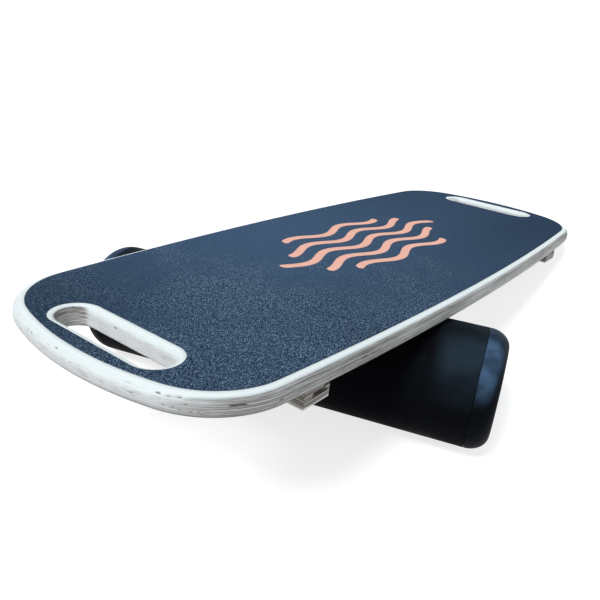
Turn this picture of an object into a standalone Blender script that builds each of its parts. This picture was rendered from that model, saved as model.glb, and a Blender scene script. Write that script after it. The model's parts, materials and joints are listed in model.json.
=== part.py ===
"""Surf balance board: a plywood deck with a grip sheet that rocks on a loose, capped roller.

Metres, +Z up. The board lies as in use: its near end is raised and its far end rests on the floor, with the
roller across under it. +X runs in plan along the board towards the far end. The origin is on the floor, under
the middle of the whole. The board's own frame has its origin at the middle of the plywood's top face, +X along
the board and +Z out of that face. The roller's frame has +X along the roller's axis.
"""

import math

import bmesh
import bpy
from mathutils import Matrix, Vector

# Clearance between pieces that touch
SEAT_GAP = 0.0003

# Deck
DECK_LENGTH = 0.750
DECK_WIDTH = 0.281
DECK_THICKNESS = 0.017
DECK_CORNER_RADIUS = 0.075
DECK_SIDE_BOW = 0.0103
DECK_END_BOW = 0.0079
DECK_EDGE_ROUNDING = 0.0074

# Hand slots
SLOT_LENGTH = 0.116
SLOT_WIDTH = 0.0271
SLOT_CENTRE_FROM_END = 0.0407
SLOT_TOP_ROUNDING = 0.0058
SLOT_BOTTOM_ROUNDING = 0.003

# Grip sheet, which ends a margin short of every rounded edge
GRIP_THICKNESS = 0.0007
GRIP_MARGIN = 0.0014

# Stoppers under the ends of the deck
STOPPER_LENGTH = 0.253
STOPPER_WIDTH = 0.031
STOPPER_HEIGHT = 0.015
STOPPER_CENTRE_FROM_END = 0.118
STOPPER_CHAMFER = 0.001

# Countersunk wood screws that hold the stoppers
SCREW_COUNT = 4
SCREW_SPACING = 0.070
SCREW_LENGTH = 0.028
SCREW_SHANK_DIAMETER = 0.004
SCREW_TIP_LENGTH = 0.006
SCREW_TIP_DIAMETER = 0.0008
SCREW_HEAD_DIAMETER = 0.008
SCREW_HEAD_LAND = 0.0004
SCREW_HEAD_SINK = 0.0005
SCREW_DRIVE_WIDTH = 0.0044
SCREW_DRIVE_BLADE = 0.0011
SCREW_DRIVE_DEPTH = 0.0016
SCREW_DRIVE_TAPER = 0.5

# Roller: a rigid tube in a thin sleeve, closed by two caps
TUBE_DIAMETER = 0.110
TUBE_WALL = 0.0032
SLEEVE_THICKNESS = 0.0007
ROLLER_LENGTH = 0.413
CAP_DEPTH = 0.0195
CAP_ROUNDING_ACROSS = 0.0155
CAP_ROUNDING_ALONG = 0.019
CAP_INNER_ROUNDING = 0.010
CAP_WALL = 0.003
CAP_SPIGOT_LENGTH = 0.020

# Where the roller lies under the board, and how far it is turned from square across it
ROLLER_OFFSET_X = -0.1227
ROLLER_OFFSET_Y = 0.0033
ROLLER_SKEW = math.radians(17.5)

# Steps that the curved outlines are drawn with
SIDE_STEPS = 10
END_STEPS = 6
CORNER_STEPS = 9
EDGE_STEPS = 4
SLOT_END_STEPS = 10
ROLLER_STEPS = 56
CAP_ROUNDING_STEPS = 5
SCREW_STEPS = 12
HOLE_STEPS = 16

# How far a cutter reaches past the face that it opens
CUTTER_REACH = 0.002

PLYWOOD_WHITEWASHED = ("plywood_whitewashed", (0.80, 0.82, 0.80), 0.45, 0.0)
GRIP_GRITTY = ("grip_gritty", (0.050, 0.093, 0.165), 0.85, 0.0)
PLYWOOD_BARE = ("plywood_bare", (0.33, 0.30, 0.27), 0.65, 0.0)
STEEL_ZINC = ("steel_zinc", (0.62, 0.61, 0.58), 0.35, 1.0)
PIPE_GREY = ("pipe_grey", (0.20, 0.21, 0.22), 0.50, 0.0)
RUBBER_BLACK = ("rubber_black", (0.006, 0.006, 0.009), 0.42, 0.0)
CAP_BLACK = ("cap_black", (0.008, 0.009, 0.013), 0.34, 0.0)

TUBE_RADIUS = TUBE_DIAMETER / 2
ROLLER_RADIUS = TUBE_RADIUS + SEAT_GAP + SLEEVE_THICKNESS
TUBE_LENGTH = ROLLER_LENGTH - 2 * (CAP_DEPTH + SEAT_GAP)
SLOT_CENTRE_X = DECK_LENGTH / 2 - SLOT_CENTRE_FROM_END
STOPPER_CENTRE_X = DECK_LENGTH / 2 - STOPPER_CENTRE_FROM_END
STOPPER_TOP_Z = -DECK_THICKNESS - SEAT_GAP
SCREW_HEAD_Z = STOPPER_TOP_Z - STOPPER_HEIGHT + SCREW_HEAD_SINK
ROLLER_AXIS_Z = -DECK_THICKNESS - SEAT_GAP - ROLLER_RADIUS


def clear_scene():
    """Removes every object that the file opened with."""
    for old in list(bpy.data.objects):
        bpy.data.objects.remove(old, do_unlink=True)


def finish_material(finish):
    """The material of a finish, made at its first use."""
    name, colour, roughness, metallic = finish
    material = bpy.data.materials.get(name)
    if material is None:
        material = bpy.data.materials.new(name)
        material.use_nodes = True
        shader = material.node_tree.nodes["Principled BSDF"]
        shader.inputs["Base Color"].default_value = (*colour, 1.0)
        shader.inputs["Roughness"].default_value = roughness
        shader.inputs["Metallic"].default_value = metallic
        material.diffuse_color = (*colour, 1.0)
    return material


def add_object(name, data, parent=None, location=(0.0, 0.0, 0.0)):
    """Puts data, or an empty where it is None, into the scene under a parent."""
    new = bpy.data.objects.new(name, data)
    new.location = location
    new.parent = parent
    bpy.context.scene.collection.objects.link(new)
    return new


def as_cutter(cutter):
    """Marks an object that only cuts others."""
    cutter.hide_render = True
    cutter.display_type = "WIRE"
    return cutter


def cut(target, cutter):
    """Takes a cutter's shape out of an object."""
    boolean = target.modifiers.new(cutter.name, "BOOLEAN")
    boolean.operation = "DIFFERENCE"
    boolean.solver = "EXACT"
    boolean.object = cutter


def shade_round(mesh):
    """Smooth shading, with edges sharper than 35 degrees kept sharp."""
    mesh.shade_smooth()
    mesh.set_sharp_from_angle(angle=math.radians(35))


def arc(centre, radius, start, end, steps):
    """Points round a circle from the start angle up to, but not at, the end angle."""
    angles = [start + (end - start) * step / steps for step in range(steps)]
    return [Vector((centre[0] + radius * math.cos(a), centre[1] + radius * math.sin(a))) for a in angles]


def deck_outline(inset):
    """The deck's outline in plan, moved inwards: bowed sides and ends that meet in round corners."""
    corner_x = DECK_LENGTH / 2 - DECK_END_BOW - DECK_CORNER_RADIUS
    corner_y = DECK_WIDTH / 2 - DECK_SIDE_BOW - DECK_CORNER_RADIUS
    corner_radius = DECK_CORNER_RADIUS - inset
    side_radius = (corner_x**2 + DECK_SIDE_BOW**2) / (2 * DECK_SIDE_BOW)
    end_radius = (corner_y**2 + DECK_END_BOW**2) / (2 * DECK_END_BOW)
    side_turn = math.asin(corner_x / side_radius)
    end_turn = math.asin(corner_y / end_radius)
    end_centre = (corner_x + DECK_END_BOW - end_radius, 0.0)
    side_centre = (0.0, corner_y + DECK_SIDE_BOW - side_radius)
    quarter = math.pi / 2
    half = arc(end_centre, end_radius + corner_radius, -end_turn, end_turn, END_STEPS)
    half += arc((corner_x, corner_y), corner_radius, end_turn, quarter - side_turn, CORNER_STEPS)
    half += arc(side_centre, side_radius + corner_radius, quarter - side_turn, quarter + side_turn, SIDE_STEPS)
    half += arc((-corner_x, corner_y), corner_radius, quarter + side_turn, math.pi - end_turn, CORNER_STEPS)
    return half + [-point for point in half]


def slot_outline(outset):
    """A hand slot's outline about its own centre, moved outwards: a long hole across the deck with round ends."""
    radius = SLOT_WIDTH / 2 + outset
    end_y = (SLOT_LENGTH - SLOT_WIDTH) / 2
    half = arc((0.0, end_y), radius, 0.0, math.pi, SLOT_END_STEPS)
    half.append(Vector((-radius, end_y)))
    return half + [-point for point in half]


def rounded_edge(bottom_z, top_z, bottom_rounding, top_rounding):
    """Pairs of setback and height up an edge that is rounded at its bottom and at its top."""
    limit = 0.49 * (top_z - bottom_z)
    low = min(bottom_rounding, limit)
    high = min(top_rounding, limit)
    turns = [math.pi / 2 * step / EDGE_STEPS for step in range(EDGE_STEPS + 1)]
    lower = [(low * (1 - math.sin(turn)), bottom_z + low * (1 - math.cos(turn))) for turn in turns]
    upper = [(high * (1 - math.sin(turn)), top_z - high * (1 - math.cos(turn))) for turn in turns]
    return lower + upper[::-1]


def lofted_mesh(name, rings):
    """A closed mesh through rings of equal count that run anticlockwise, from the lowest to the highest."""
    shape = bmesh.new()
    loops = [[shape.verts.new(point) for point in ring] for ring in rings]
    shape.faces.new(loops[0][::-1])
    shape.faces.new(loops[-1])
    count = len(loops[0])
    for lower, upper in zip(loops, loops[1:]):
        for here in range(count):
            after = (here + 1) % count
            shape.faces.new((lower[here], lower[after], upper[after], upper[here]))
    mesh = bpy.data.meshes.new(name)
    shape.to_mesh(mesh)
    shape.free()
    shade_round(mesh)
    return mesh


def stacked_mesh(name, outline, levels):
    """A closed mesh whose outline, given its setback, stands at each level's height."""
    return lofted_mesh(name, [[(*point, height) for point in outline(setback)] for setback, height in levels])


def turned_mesh(name, profile, steps, closed=False):
    """A mesh turned about Z from a profile of radius and height that runs down its outer side."""
    outline = bpy.data.meshes.new(name + "_profile")
    last = len(profile) if closed else len(profile) - 1
    edges = [(here, (here + 1) % len(profile)) for here in range(last)]
    outline.from_pydata([(radius, 0.0, height) for radius, height in profile], edges, [])
    turning = add_object(name + "_turning", outline)
    screw = turning.modifiers.new("turn", "SCREW")
    screw.axis = "Z"
    screw.angle = 2 * math.pi
    screw.steps = steps
    screw.render_steps = steps
    screw.use_merge_vertices = True
    screw.merge_threshold = 0.00001
    mesh = baked_mesh(name, turning)
    bpy.data.objects.remove(turning, do_unlink=True)
    shade_round(mesh)
    return mesh


def baked_mesh(name, source):
    """A mesh of its own with the shape that an object has after its modifiers."""
    depsgraph = bpy.context.evaluated_depsgraph_get()
    mesh = bpy.data.meshes.new_from_object(source.evaluated_get(depsgraph), depsgraph=depsgraph)
    mesh.name = name
    return mesh


def dress(piece, finish):
    """Gives a piece its material."""
    piece.data.materials.clear()
    piece.data.materials.append(finish_material(finish))
    return piece


def slot_cutter(name, board, centre_x, levels):
    """A cutter that opens a hand slot, from past its lowest level to past its highest."""
    past_bottom = (levels[0][0], levels[0][1] - CUTTER_REACH)
    past_top = (levels[-1][0], levels[-1][1] + CUTTER_REACH)
    mesh = stacked_mesh(name, slot_outline, [past_bottom, *levels, past_top])
    return as_cutter(add_object(name, mesh, board, (centre_x, 0.0, 0.0)))


def build_deck(board):
    """The plywood deck, rounded all round and at its hand slots, with a pilot hole for each screw."""
    levels = rounded_edge(-DECK_THICKNESS, 0.0, DECK_EDGE_ROUNDING, DECK_EDGE_ROUNDING)
    deck = add_object("deck", stacked_mesh("deck", deck_outline, levels), board)
    slot_levels = rounded_edge(-DECK_THICKNESS, 0.0, SLOT_BOTTOM_ROUNDING, SLOT_TOP_ROUNDING)
    for end, side in (("near", -1), ("far", 1)):
        cut(deck, slot_cutter(f"deck_slot_{end}", board, side * SLOT_CENTRE_X, slot_levels))
    return dress(deck, PLYWOOD_WHITEWASHED)


def build_grip_sheet(board):
    """The grip sheet on the deck's top face, cut out round the hand slots."""
    bottom_z = SEAT_GAP
    top_z = SEAT_GAP + GRIP_THICKNESS
    edge = DECK_EDGE_ROUNDING + GRIP_MARGIN
    mesh = stacked_mesh("grip_sheet", deck_outline, [(edge, bottom_z), (edge, top_z)])
    grip = add_object("grip_sheet", mesh, board)
    slot_edge = SLOT_TOP_ROUNDING + GRIP_MARGIN
    for end, side in (("near", -1), ("far", 1)):
        levels = [(slot_edge, bottom_z), (slot_edge, top_z)]
        cut(grip, slot_cutter(f"grip_slot_{end}", board, side * SLOT_CENTRE_X, levels))
    return dress(grip, GRIP_GRITTY)


def stopper_mesh(name):
    """A plywood strip with its top face at z = 0 and a small rounding on every edge but those of that face."""
    shape = bmesh.new()
    bmesh.ops.create_cube(shape, size=1.0)
    bmesh.ops.scale(shape, vec=(STOPPER_WIDTH, STOPPER_LENGTH, STOPPER_HEIGHT), verts=shape.verts)
    bmesh.ops.translate(shape, vec=(0.0, 0.0, -STOPPER_HEIGHT / 2), verts=shape.verts)
    rim = [edge for edge in shape.edges if min(end.co.z for end in edge.verts) < -STOPPER_HEIGHT / 2]
    bmesh.ops.bevel(shape, geom=rim, offset=STOPPER_CHAMFER, segments=2, profile=0.5, affect="EDGES")
    mesh = bpy.data.meshes.new(name)
    shape.to_mesh(mesh)
    shape.free()
    return mesh


def screw_profile(clearance):
    """A countersunk screw's profile, tip uppermost, grown by a clearance, down to its head's rim."""
    shank = SCREW_SHANK_DIAMETER / 2 + clearance
    tip = SCREW_TIP_DIAMETER / 2 + clearance
    head = SCREW_HEAD_DIAMETER / 2 + clearance
    return [
        (0.0, SCREW_LENGTH + clearance),
        (tip, SCREW_LENGTH + clearance),
        (shank, SCREW_LENGTH - SCREW_TIP_LENGTH + clearance),
        (shank, SCREW_HEAD_LAND + head - shank),
        (head, SCREW_HEAD_LAND),
    ]


def screw_mesh():
    """A countersunk screw with a cross drive: its head's face is at z = 0 and its tip points up."""
    profile = [*screw_profile(0.0), (SCREW_HEAD_DIAMETER / 2, 0.0), (0.0, 0.0)]
    body = add_object("screw_body", turned_mesh("screw_body", profile, SCREW_STEPS))
    long_half = SCREW_DRIVE_WIDTH / 2
    short_half = SCREW_DRIVE_BLADE / 2
    arm = [(long_half, -short_half), (long_half, short_half), (short_half, short_half)]
    cross = [Matrix.Rotation(turn * math.pi / 2, 2) @ Vector(point) for turn in range(4) for point in arm]
    sizes = ((1.0, -CUTTER_REACH), (1.0, 0.0), (SCREW_DRIVE_TAPER, SCREW_DRIVE_DEPTH))
    rings = [[(*(point * size), height) for point in cross] for size, height in sizes]
    drive = as_cutter(add_object("screw_drive", lofted_mesh("screw_drive", rings)))
    cut(body, drive)
    mesh = baked_mesh("screw", body)
    for used in (body, drive):
        bpy.data.objects.remove(used, do_unlink=True)
    return mesh


def screw_places():
    """The distances from the board's centre line at which each stopper is screwed."""
    first = -SCREW_SPACING * (SCREW_COUNT - 1) / 2
    return [first + SCREW_SPACING * number for number in range(SCREW_COUNT)]


def build_stoppers(board, deck):
    """Both stoppers with their screws, and the holes for them in the stoppers and in the deck."""
    hole = turned_mesh(
        "screw_hole",
        [*screw_profile(SEAT_GAP), (SCREW_HEAD_DIAMETER / 2 + SEAT_GAP, -CUTTER_REACH), (0.0, -CUTTER_REACH)],
        HOLE_STEPS,
    )
    screw = screw_mesh()
    pieces = []
    for end, side in (("near", -1), ("far", 1)):
        centre_x = side * STOPPER_CENTRE_X
        name = f"stopper_{end}"
        stopper = add_object(name, stopper_mesh(name), board, (centre_x, 0.0, STOPPER_TOP_Z))
        pieces.append(dress(stopper, PLYWOOD_BARE))
        for number, place_y in enumerate(screw_places(), start=1):
            place = (centre_x, place_y, SCREW_HEAD_Z)
            cutter = as_cutter(add_object(f"screw_hole_{end}_{number}", hole, board, place))
            cut(stopper, cutter)
            cut(deck, cutter)
            piece = add_object(f"stopper_screw_{end}_{number}", screw, board, place)
            pieces.append(dress(piece, STEEL_ZINC))
    return pieces


def ring_profile(inner, outer, length):
    """The closed profile of a plain tube that is centred on z = 0."""
    return [(outer, length / 2), (outer, -length / 2), (inner, -length / 2), (inner, length / 2)]


def rounded_corner(radius, height, across, along):
    """Points round the top outer corner of a turned shape, from its flat top to its straight side.

    The corner is a quarter of an ellipse that reaches across from the side and along from the top.
    """
    turns = [math.pi / 2 * step / CAP_ROUNDING_STEPS for step in range(CAP_ROUNDING_STEPS + 1)]
    return [(radius - across * (1 - math.sin(turn)), height - along * (1 - math.cos(turn))) for turn in turns]


def cap_profile():
    """A cap's profile, its round nose uppermost and its seat on the tube at z = 0."""
    spigot = TUBE_RADIUS - TUBE_WALL - SEAT_GAP
    bore = spigot - CAP_WALL
    hollow_depth = CAP_DEPTH - CAP_WALL
    inner_rounding = min(CAP_INNER_ROUNDING, 0.98 * hollow_depth)
    nose = rounded_corner(ROLLER_RADIUS, CAP_DEPTH, CAP_ROUNDING_ACROSS, min(CAP_ROUNDING_ALONG, 0.98 * CAP_DEPTH))
    hollow = rounded_corner(bore, hollow_depth, inner_rounding, inner_rounding)
    seat = [(ROLLER_RADIUS, 0.0), (spigot, 0.0), (spigot, -CAP_SPIGOT_LENGTH), (bore, -CAP_SPIGOT_LENGTH)]
    return [(0.0, CAP_DEPTH), *nose, *seat, *reversed(hollow), (0.0, hollow_depth)]


def build_roller(roller):
    """The tube, its sleeve and a cap in each end, all on the roller's own axis, which is X."""
    along_x = math.pi / 2
    tube_profile = ring_profile(TUBE_RADIUS - TUBE_WALL, TUBE_RADIUS, TUBE_LENGTH)
    sleeve_profile = ring_profile(TUBE_RADIUS + SEAT_GAP, ROLLER_RADIUS, TUBE_LENGTH)
    tube = turned_mesh("roller_tube", tube_profile, ROLLER_STEPS, closed=True)
    sleeve = turned_mesh("roller_sleeve", sleeve_profile, ROLLER_STEPS, closed=True)
    cap = turned_mesh("roller_cap", cap_profile(), ROLLER_STEPS)
    pieces = []
    for name, mesh, place_x, turn, finish in (
        ("roller_tube", tube, 0.0, along_x, PIPE_GREY),
        ("roller_sleeve", sleeve, 0.0, along_x, RUBBER_BLACK),
        ("roller_cap_right", cap, TUBE_LENGTH / 2 + SEAT_GAP, along_x, CAP_BLACK),
        ("roller_cap_left", cap, -TUBE_LENGTH / 2 - SEAT_GAP, -along_x, CAP_BLACK),
    ):
        piece = add_object(name, mesh, roller, (place_x, 0.0, 0.0))
        piece.rotation_euler = (0.0, turn, 0.0)
        pieces.append(dress(piece, finish))
    return pieces


def board_in_roller_frame():
    """The level board's placement in the roller's frame, whose +X points at the board's near long side."""
    turn = Matrix.Rotation(math.pi / 2 - ROLLER_SKEW, 4, "Z")
    return turn @ Matrix.Translation((-ROLLER_OFFSET_X, -ROLLER_OFFSET_Y, -ROLLER_AXIS_Z))


def height_over_floor(points, tilt):
    """How high the lowest of the points, given in the roller's frame, is over the floor at a tilt."""
    return ROLLER_RADIUS + min(point.y * math.sin(tilt) + point.z * math.cos(tilt) for point in points)


def resting_tilt(points, steepest):
    """The tilt between level and the steepest one at which the points touch the floor."""
    level = 0.0
    for _ in range(60):
        middle = (level + steepest) / 2
        if height_over_floor(points, middle) > 0.0:
            level = middle
        else:
            steepest = middle
    return level


def middle_of_base(pieces):
    """The middle of the underside of the box round all the pieces, in world space."""
    depsgraph = bpy.context.evaluated_depsgraph_get()
    corners = []
    for piece in pieces:
        evaluated = piece.evaluated_get(depsgraph)
        corners += [evaluated.matrix_world @ vertex.co for vertex in evaluated.data.vertices]
    low = [min(corner[axis] for corner in corners) for axis in range(3)]
    high = [max(corner[axis] for corner in corners) for axis in range(3)]
    return Vector(((low[0] + high[0]) / 2, (low[1] + high[1]) / 2, low[2]))


def main():
    """Builds the roller and the board, tilts the board until its far end rests, and centres the whole."""
    clear_scene()
    assembly = add_object("assembly", None)
    roller = add_object("roller", None, assembly)
    rock_pivot = add_object("rock_pivot", None, assembly)
    board = add_object("board", None, rock_pivot)
    board.matrix_local = board_in_roller_frame()

    deck = build_deck(board)
    on_board = [deck, build_grip_sheet(board), *build_stoppers(board, deck)]
    pieces = [*build_roller(roller), *on_board]

    in_roller_frame = [
        board.matrix_local @ (piece.location + vertex.co) for piece in on_board for vertex in piece.data.vertices
    ]
    tilt_far = resting_tilt(in_roller_frame, math.radians(-60))
    tilt_near = resting_tilt(in_roller_frame, math.radians(60))
    rock_pivot.rotation_euler = (tilt_far, 0.0, 0.0)
    long_axis = Matrix.Rotation(tilt_far, 3, "X") @ board.matrix_local.to_3x3() @ Vector((1.0, 0.0, 0.0))
    assembly.rotation_euler = (0.0, 0.0, -math.atan2(long_axis.y, long_axis.x))
    bpy.context.view_layer.update()
    assembly.location = -middle_of_base(pieces)
    bpy.context.view_layer.update()

    axis = rock_pivot.matrix_world.to_3x3() @ Vector((1.0, 0.0, 0.0))
    top_face = board.matrix_world @ Vector((0.0, 0.0, SEAT_GAP + GRIP_THICKNESS))
    normal = board.matrix_world.to_3x3() @ Vector((0.0, 0.0, 1.0))
    print("rocking axis through", *(round(value, 6) for value in rock_pivot.matrix_world.translation))
    print("rocking axis along", *(round(value, 6) for value in axis))
    print("rocking range in degrees", round(math.degrees(tilt_near - tilt_far), 3))
    print("top face at", *(round(value, 6) for value in top_face))
    print("top face normal", *(round(value, 6) for value in normal))


main()
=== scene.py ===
"""Looks of a surf balance board: its fine surfaces, its finishes, and the studio it is shown in.

Metres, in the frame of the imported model: +Z up, the origin on the floor under the middle of the whole. The
board's own frame has its origin at the middle of the plywood's top face, +X along the board towards the end
that rests on the floor, and +Z out of that face. The roller's own frame has its origin at the roller's middle
and +Z along its axis, towards the cap at the near long side of the board.
"""

import json
import logging
import math
import random
from collections.abc import Iterable, Sequence
from dataclasses import dataclass, field
from enum import Enum
from typing import ClassVar

import bmesh
import bpy
from mathutils import Matrix, Vector


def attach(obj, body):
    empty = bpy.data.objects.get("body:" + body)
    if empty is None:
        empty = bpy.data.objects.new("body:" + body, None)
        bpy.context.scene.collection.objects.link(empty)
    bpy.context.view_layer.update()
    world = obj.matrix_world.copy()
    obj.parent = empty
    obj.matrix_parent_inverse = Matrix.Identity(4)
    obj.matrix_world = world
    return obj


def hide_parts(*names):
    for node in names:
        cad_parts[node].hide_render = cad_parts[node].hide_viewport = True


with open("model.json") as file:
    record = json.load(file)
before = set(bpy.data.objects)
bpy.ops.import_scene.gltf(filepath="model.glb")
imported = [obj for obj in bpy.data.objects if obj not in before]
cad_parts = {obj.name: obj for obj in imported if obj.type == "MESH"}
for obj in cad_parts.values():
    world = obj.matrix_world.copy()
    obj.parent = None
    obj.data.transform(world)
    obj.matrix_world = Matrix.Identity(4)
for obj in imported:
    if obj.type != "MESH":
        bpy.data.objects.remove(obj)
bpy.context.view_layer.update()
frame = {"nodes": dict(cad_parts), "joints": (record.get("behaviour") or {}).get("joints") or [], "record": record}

LOG = logging.getLogger("surf_balance_board")
QUARTER_TURN = math.pi / 2
FULL_TURN = 2 * math.pi
POINT_SPACING = 0.0026
# How far in the middle of a softened edge lies, as a share of the edge's width
SOFT_EDGE_MIDDLE = 0.3

Colour = tuple[float, float, float]
Ring = list[bmesh.types.BMVert]


class BoardEnd(Enum):
    """An end of the board, with the side of the middle that it is on along the board's X."""

    NEAR = -1
    FAR = 1


class RollerEnd(Enum):
    """An end of the roller, with the side of the middle that it is on along the roller's Z."""

    LEFT = -1
    RIGHT = 1


class Grain(Enum):
    """The way the outer veneers' grain runs, as the number of the piece's axis that it follows."""

    ALONG_X = 0
    ALONG_Y = 1


def matrix_of(x: Vector, y: Vector, z: Vector, origin: Vector) -> Matrix:
    """Makes a placing matrix.

    Args:
        x: The direction of the frame's X axis.
        y: The direction of its Y axis.
        z: The direction of its Z axis.
        origin: Its origin.

    Returns:
        The matrix that takes a point out of that frame.
    """
    return Matrix.Translation(origin) @ Matrix((x, y, z)).transposed().to_4x4()


def steps_along(length: float) -> int:
    """How many steps a run of an outline takes."""
    return max(1, round(length / POINT_SPACING))


@dataclass(frozen=True)
class Placement:
    """Where a piece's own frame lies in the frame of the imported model."""

    matrix: Matrix

    @classmethod
    def of_board(cls) -> "Placement":
        """The board's frame, from the face that the user stands on.

        Returns:
            The placement whose origin is the middle of the plywood's top face.
        """
        face = frame["record"]["mounts"][0]
        up = Vector(face["axis"]).normalized()
        along = Vector((up.z, 0.0, -up.x)).normalized()
        across = up.cross(along)
        sheet_top = Vector(face["pos_m"])
        plywood_top = Extent.of("deck", cls(matrix_of(along, across, up, sheet_top))).high.z
        return cls(matrix_of(along, across, up, sheet_top + plywood_top * up))

    @classmethod
    def of_roller(cls) -> "Placement":
        """The roller's frame, from the axis that the board rocks about.

        Returns:
            The placement whose Z runs along that axis.
        """
        hinge = frame["joints"][0]
        axis = Vector(hinge["axis"]).normalized()
        level = Vector((0.0, 0.0, 1.0)).cross(axis).normalized()
        return cls(matrix_of(level, axis.cross(level), axis, Vector(hinge["pos_m"])))


@dataclass(frozen=True)
class Extent:
    """The box round a CAD node, in a piece's own frame."""

    low: Vector
    high: Vector

    @classmethod
    def of(cls, node: str, placement: Placement) -> "Extent":
        """Measures a CAD node.

        Args:
            node: The node's name.
            placement: The frame that it is measured in.

        Returns:
            The node's box in that frame.
        """
        inwards = placement.matrix.inverted()
        corners = [inwards @ vertex.co for vertex in frame["nodes"][node].data.vertices]
        low = Vector([min(corner[axis] for corner in corners) for axis in range(3)])
        high = Vector([max(corner[axis] for corner in corners) for axis in range(3)])
        return cls(low, high)

    @property
    def size(self) -> Vector:
        """The box's sides."""
        return self.high - self.low

    @property
    def middle(self) -> Vector:
        """The box's centre."""
        return (self.high + self.low) / 2


@dataclass(frozen=True)
class OutlinePoint:
    """A point of an outline in plan, with the direction into the wood and the way round to it."""

    place: Vector
    inwards: Vector
    way: float


class Outline:
    """A closed outline in plan, gathered run by run."""

    def __init__(self, wood_inside: bool) -> None:
        """Starts an empty outline.

        Args:
            wood_inside: Whether the wood is inside the outline, as at a deck's rim, or outside, as at a slot.
        """
        self.inward_sign = -1.0 if wood_inside else 1.0
        self.places: list[tuple[Vector, Vector]] = []

    def add_arc(self, centre: Sequence[float], radius: float, start: float, end: float, steps: int) -> None:
        """Adds points from an arc's start up to, but not at, its end.

        Args:
            centre: The arc's centre.
            radius: Its radius.
            start: The angle that it starts at.
            end: The angle that it ends at.
            steps: How many points to add.
        """
        for step in range(steps):
            angle = start + (end - start) * step / steps
            normal = Vector((math.cos(angle), math.sin(angle)))
            self.places.append((Vector(centre) + radius * normal, normal))

    def add_run(self, start: Sequence[float], end: Sequence[float], normal: Sequence[float]) -> None:
        """Adds points from a straight run's start up to, but not at, its end.

        Args:
            start: Where the run starts.
            end: Where it ends.
            normal: The direction out of the outline along the run.
        """
        steps = steps_along((Vector(end) - Vector(start)).length)
        for step in range(steps):
            self.places.append((Vector(start).lerp(Vector(end), step / steps), Vector(normal)))

    def closed(self) -> list[OutlinePoint]:
        """Completes the outline with the same runs turned half round.

        Returns:
            The whole outline's points.
        """
        whole = self.places + [(-place, -normal) for place, normal in self.places]
        points = []
        way = 0.0
        for number, (place, normal) in enumerate(whole):
            way += (place - whole[number - 1][0]).length if number else 0.0
            points.append(OutlinePoint(place, self.inward_sign * normal, way))
        return points


@dataclass(frozen=True)
class EdgePoint:
    """A point on the way up a plywood edge: where it lies, the edge's turn there, and its place in a ply."""

    setback: float
    height: float
    turn: float
    ply: int
    ply_share: float


@dataclass(frozen=True)
class Void:
    """A place where the veneer of one ply is missing at the edge."""

    END_TAPER: ClassVar[float] = 3.0
    SQUARENESS: ClassVar[int] = 4

    ply: int
    start: float
    length: float
    depth: float

    def depth_at(self, point: EdgePoint, way: float) -> float:
        """How deep the void is at a point.

        Args:
            point: The place up the edge.
            way: The place along the outline.

        Returns:
            The depth, or 0 outside the void.
        """
        along = (way - self.start) / self.length
        if point.ply != self.ply or not 0.0 < along < 1.0:
            return 0.0
        taper = min(1.0, self.END_TAPER * min(along, 1.0 - along))
        return self.depth * taper * (1.0 - abs(2.0 * point.ply_share - 1.0) ** self.SQUARENESS)


@dataclass(frozen=True)
class VoidScatter:
    """How voids are scattered at random in the inner plies of an edge."""

    lowest_ply: int
    highest_ply: int
    lengths: tuple[float, float]
    depths: tuple[float, float]

    def drawn(self, draw: random.Random, outline: Sequence[OutlinePoint], count: int) -> list[Void]:
        """Draws voids.

        Args:
            draw: Where the chances come from.
            outline: The outline that the edge follows.
            count: How many voids there are.

        Returns:
            The voids.
        """
        return [
            Void(
                ply=draw.randint(self.lowest_ply, self.highest_ply),
                start=draw.uniform(0.0, outline[-1].way),
                length=draw.uniform(*self.lengths),
                depth=draw.uniform(*self.depths),
            )
            for _ in range(count)
        ]


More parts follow.
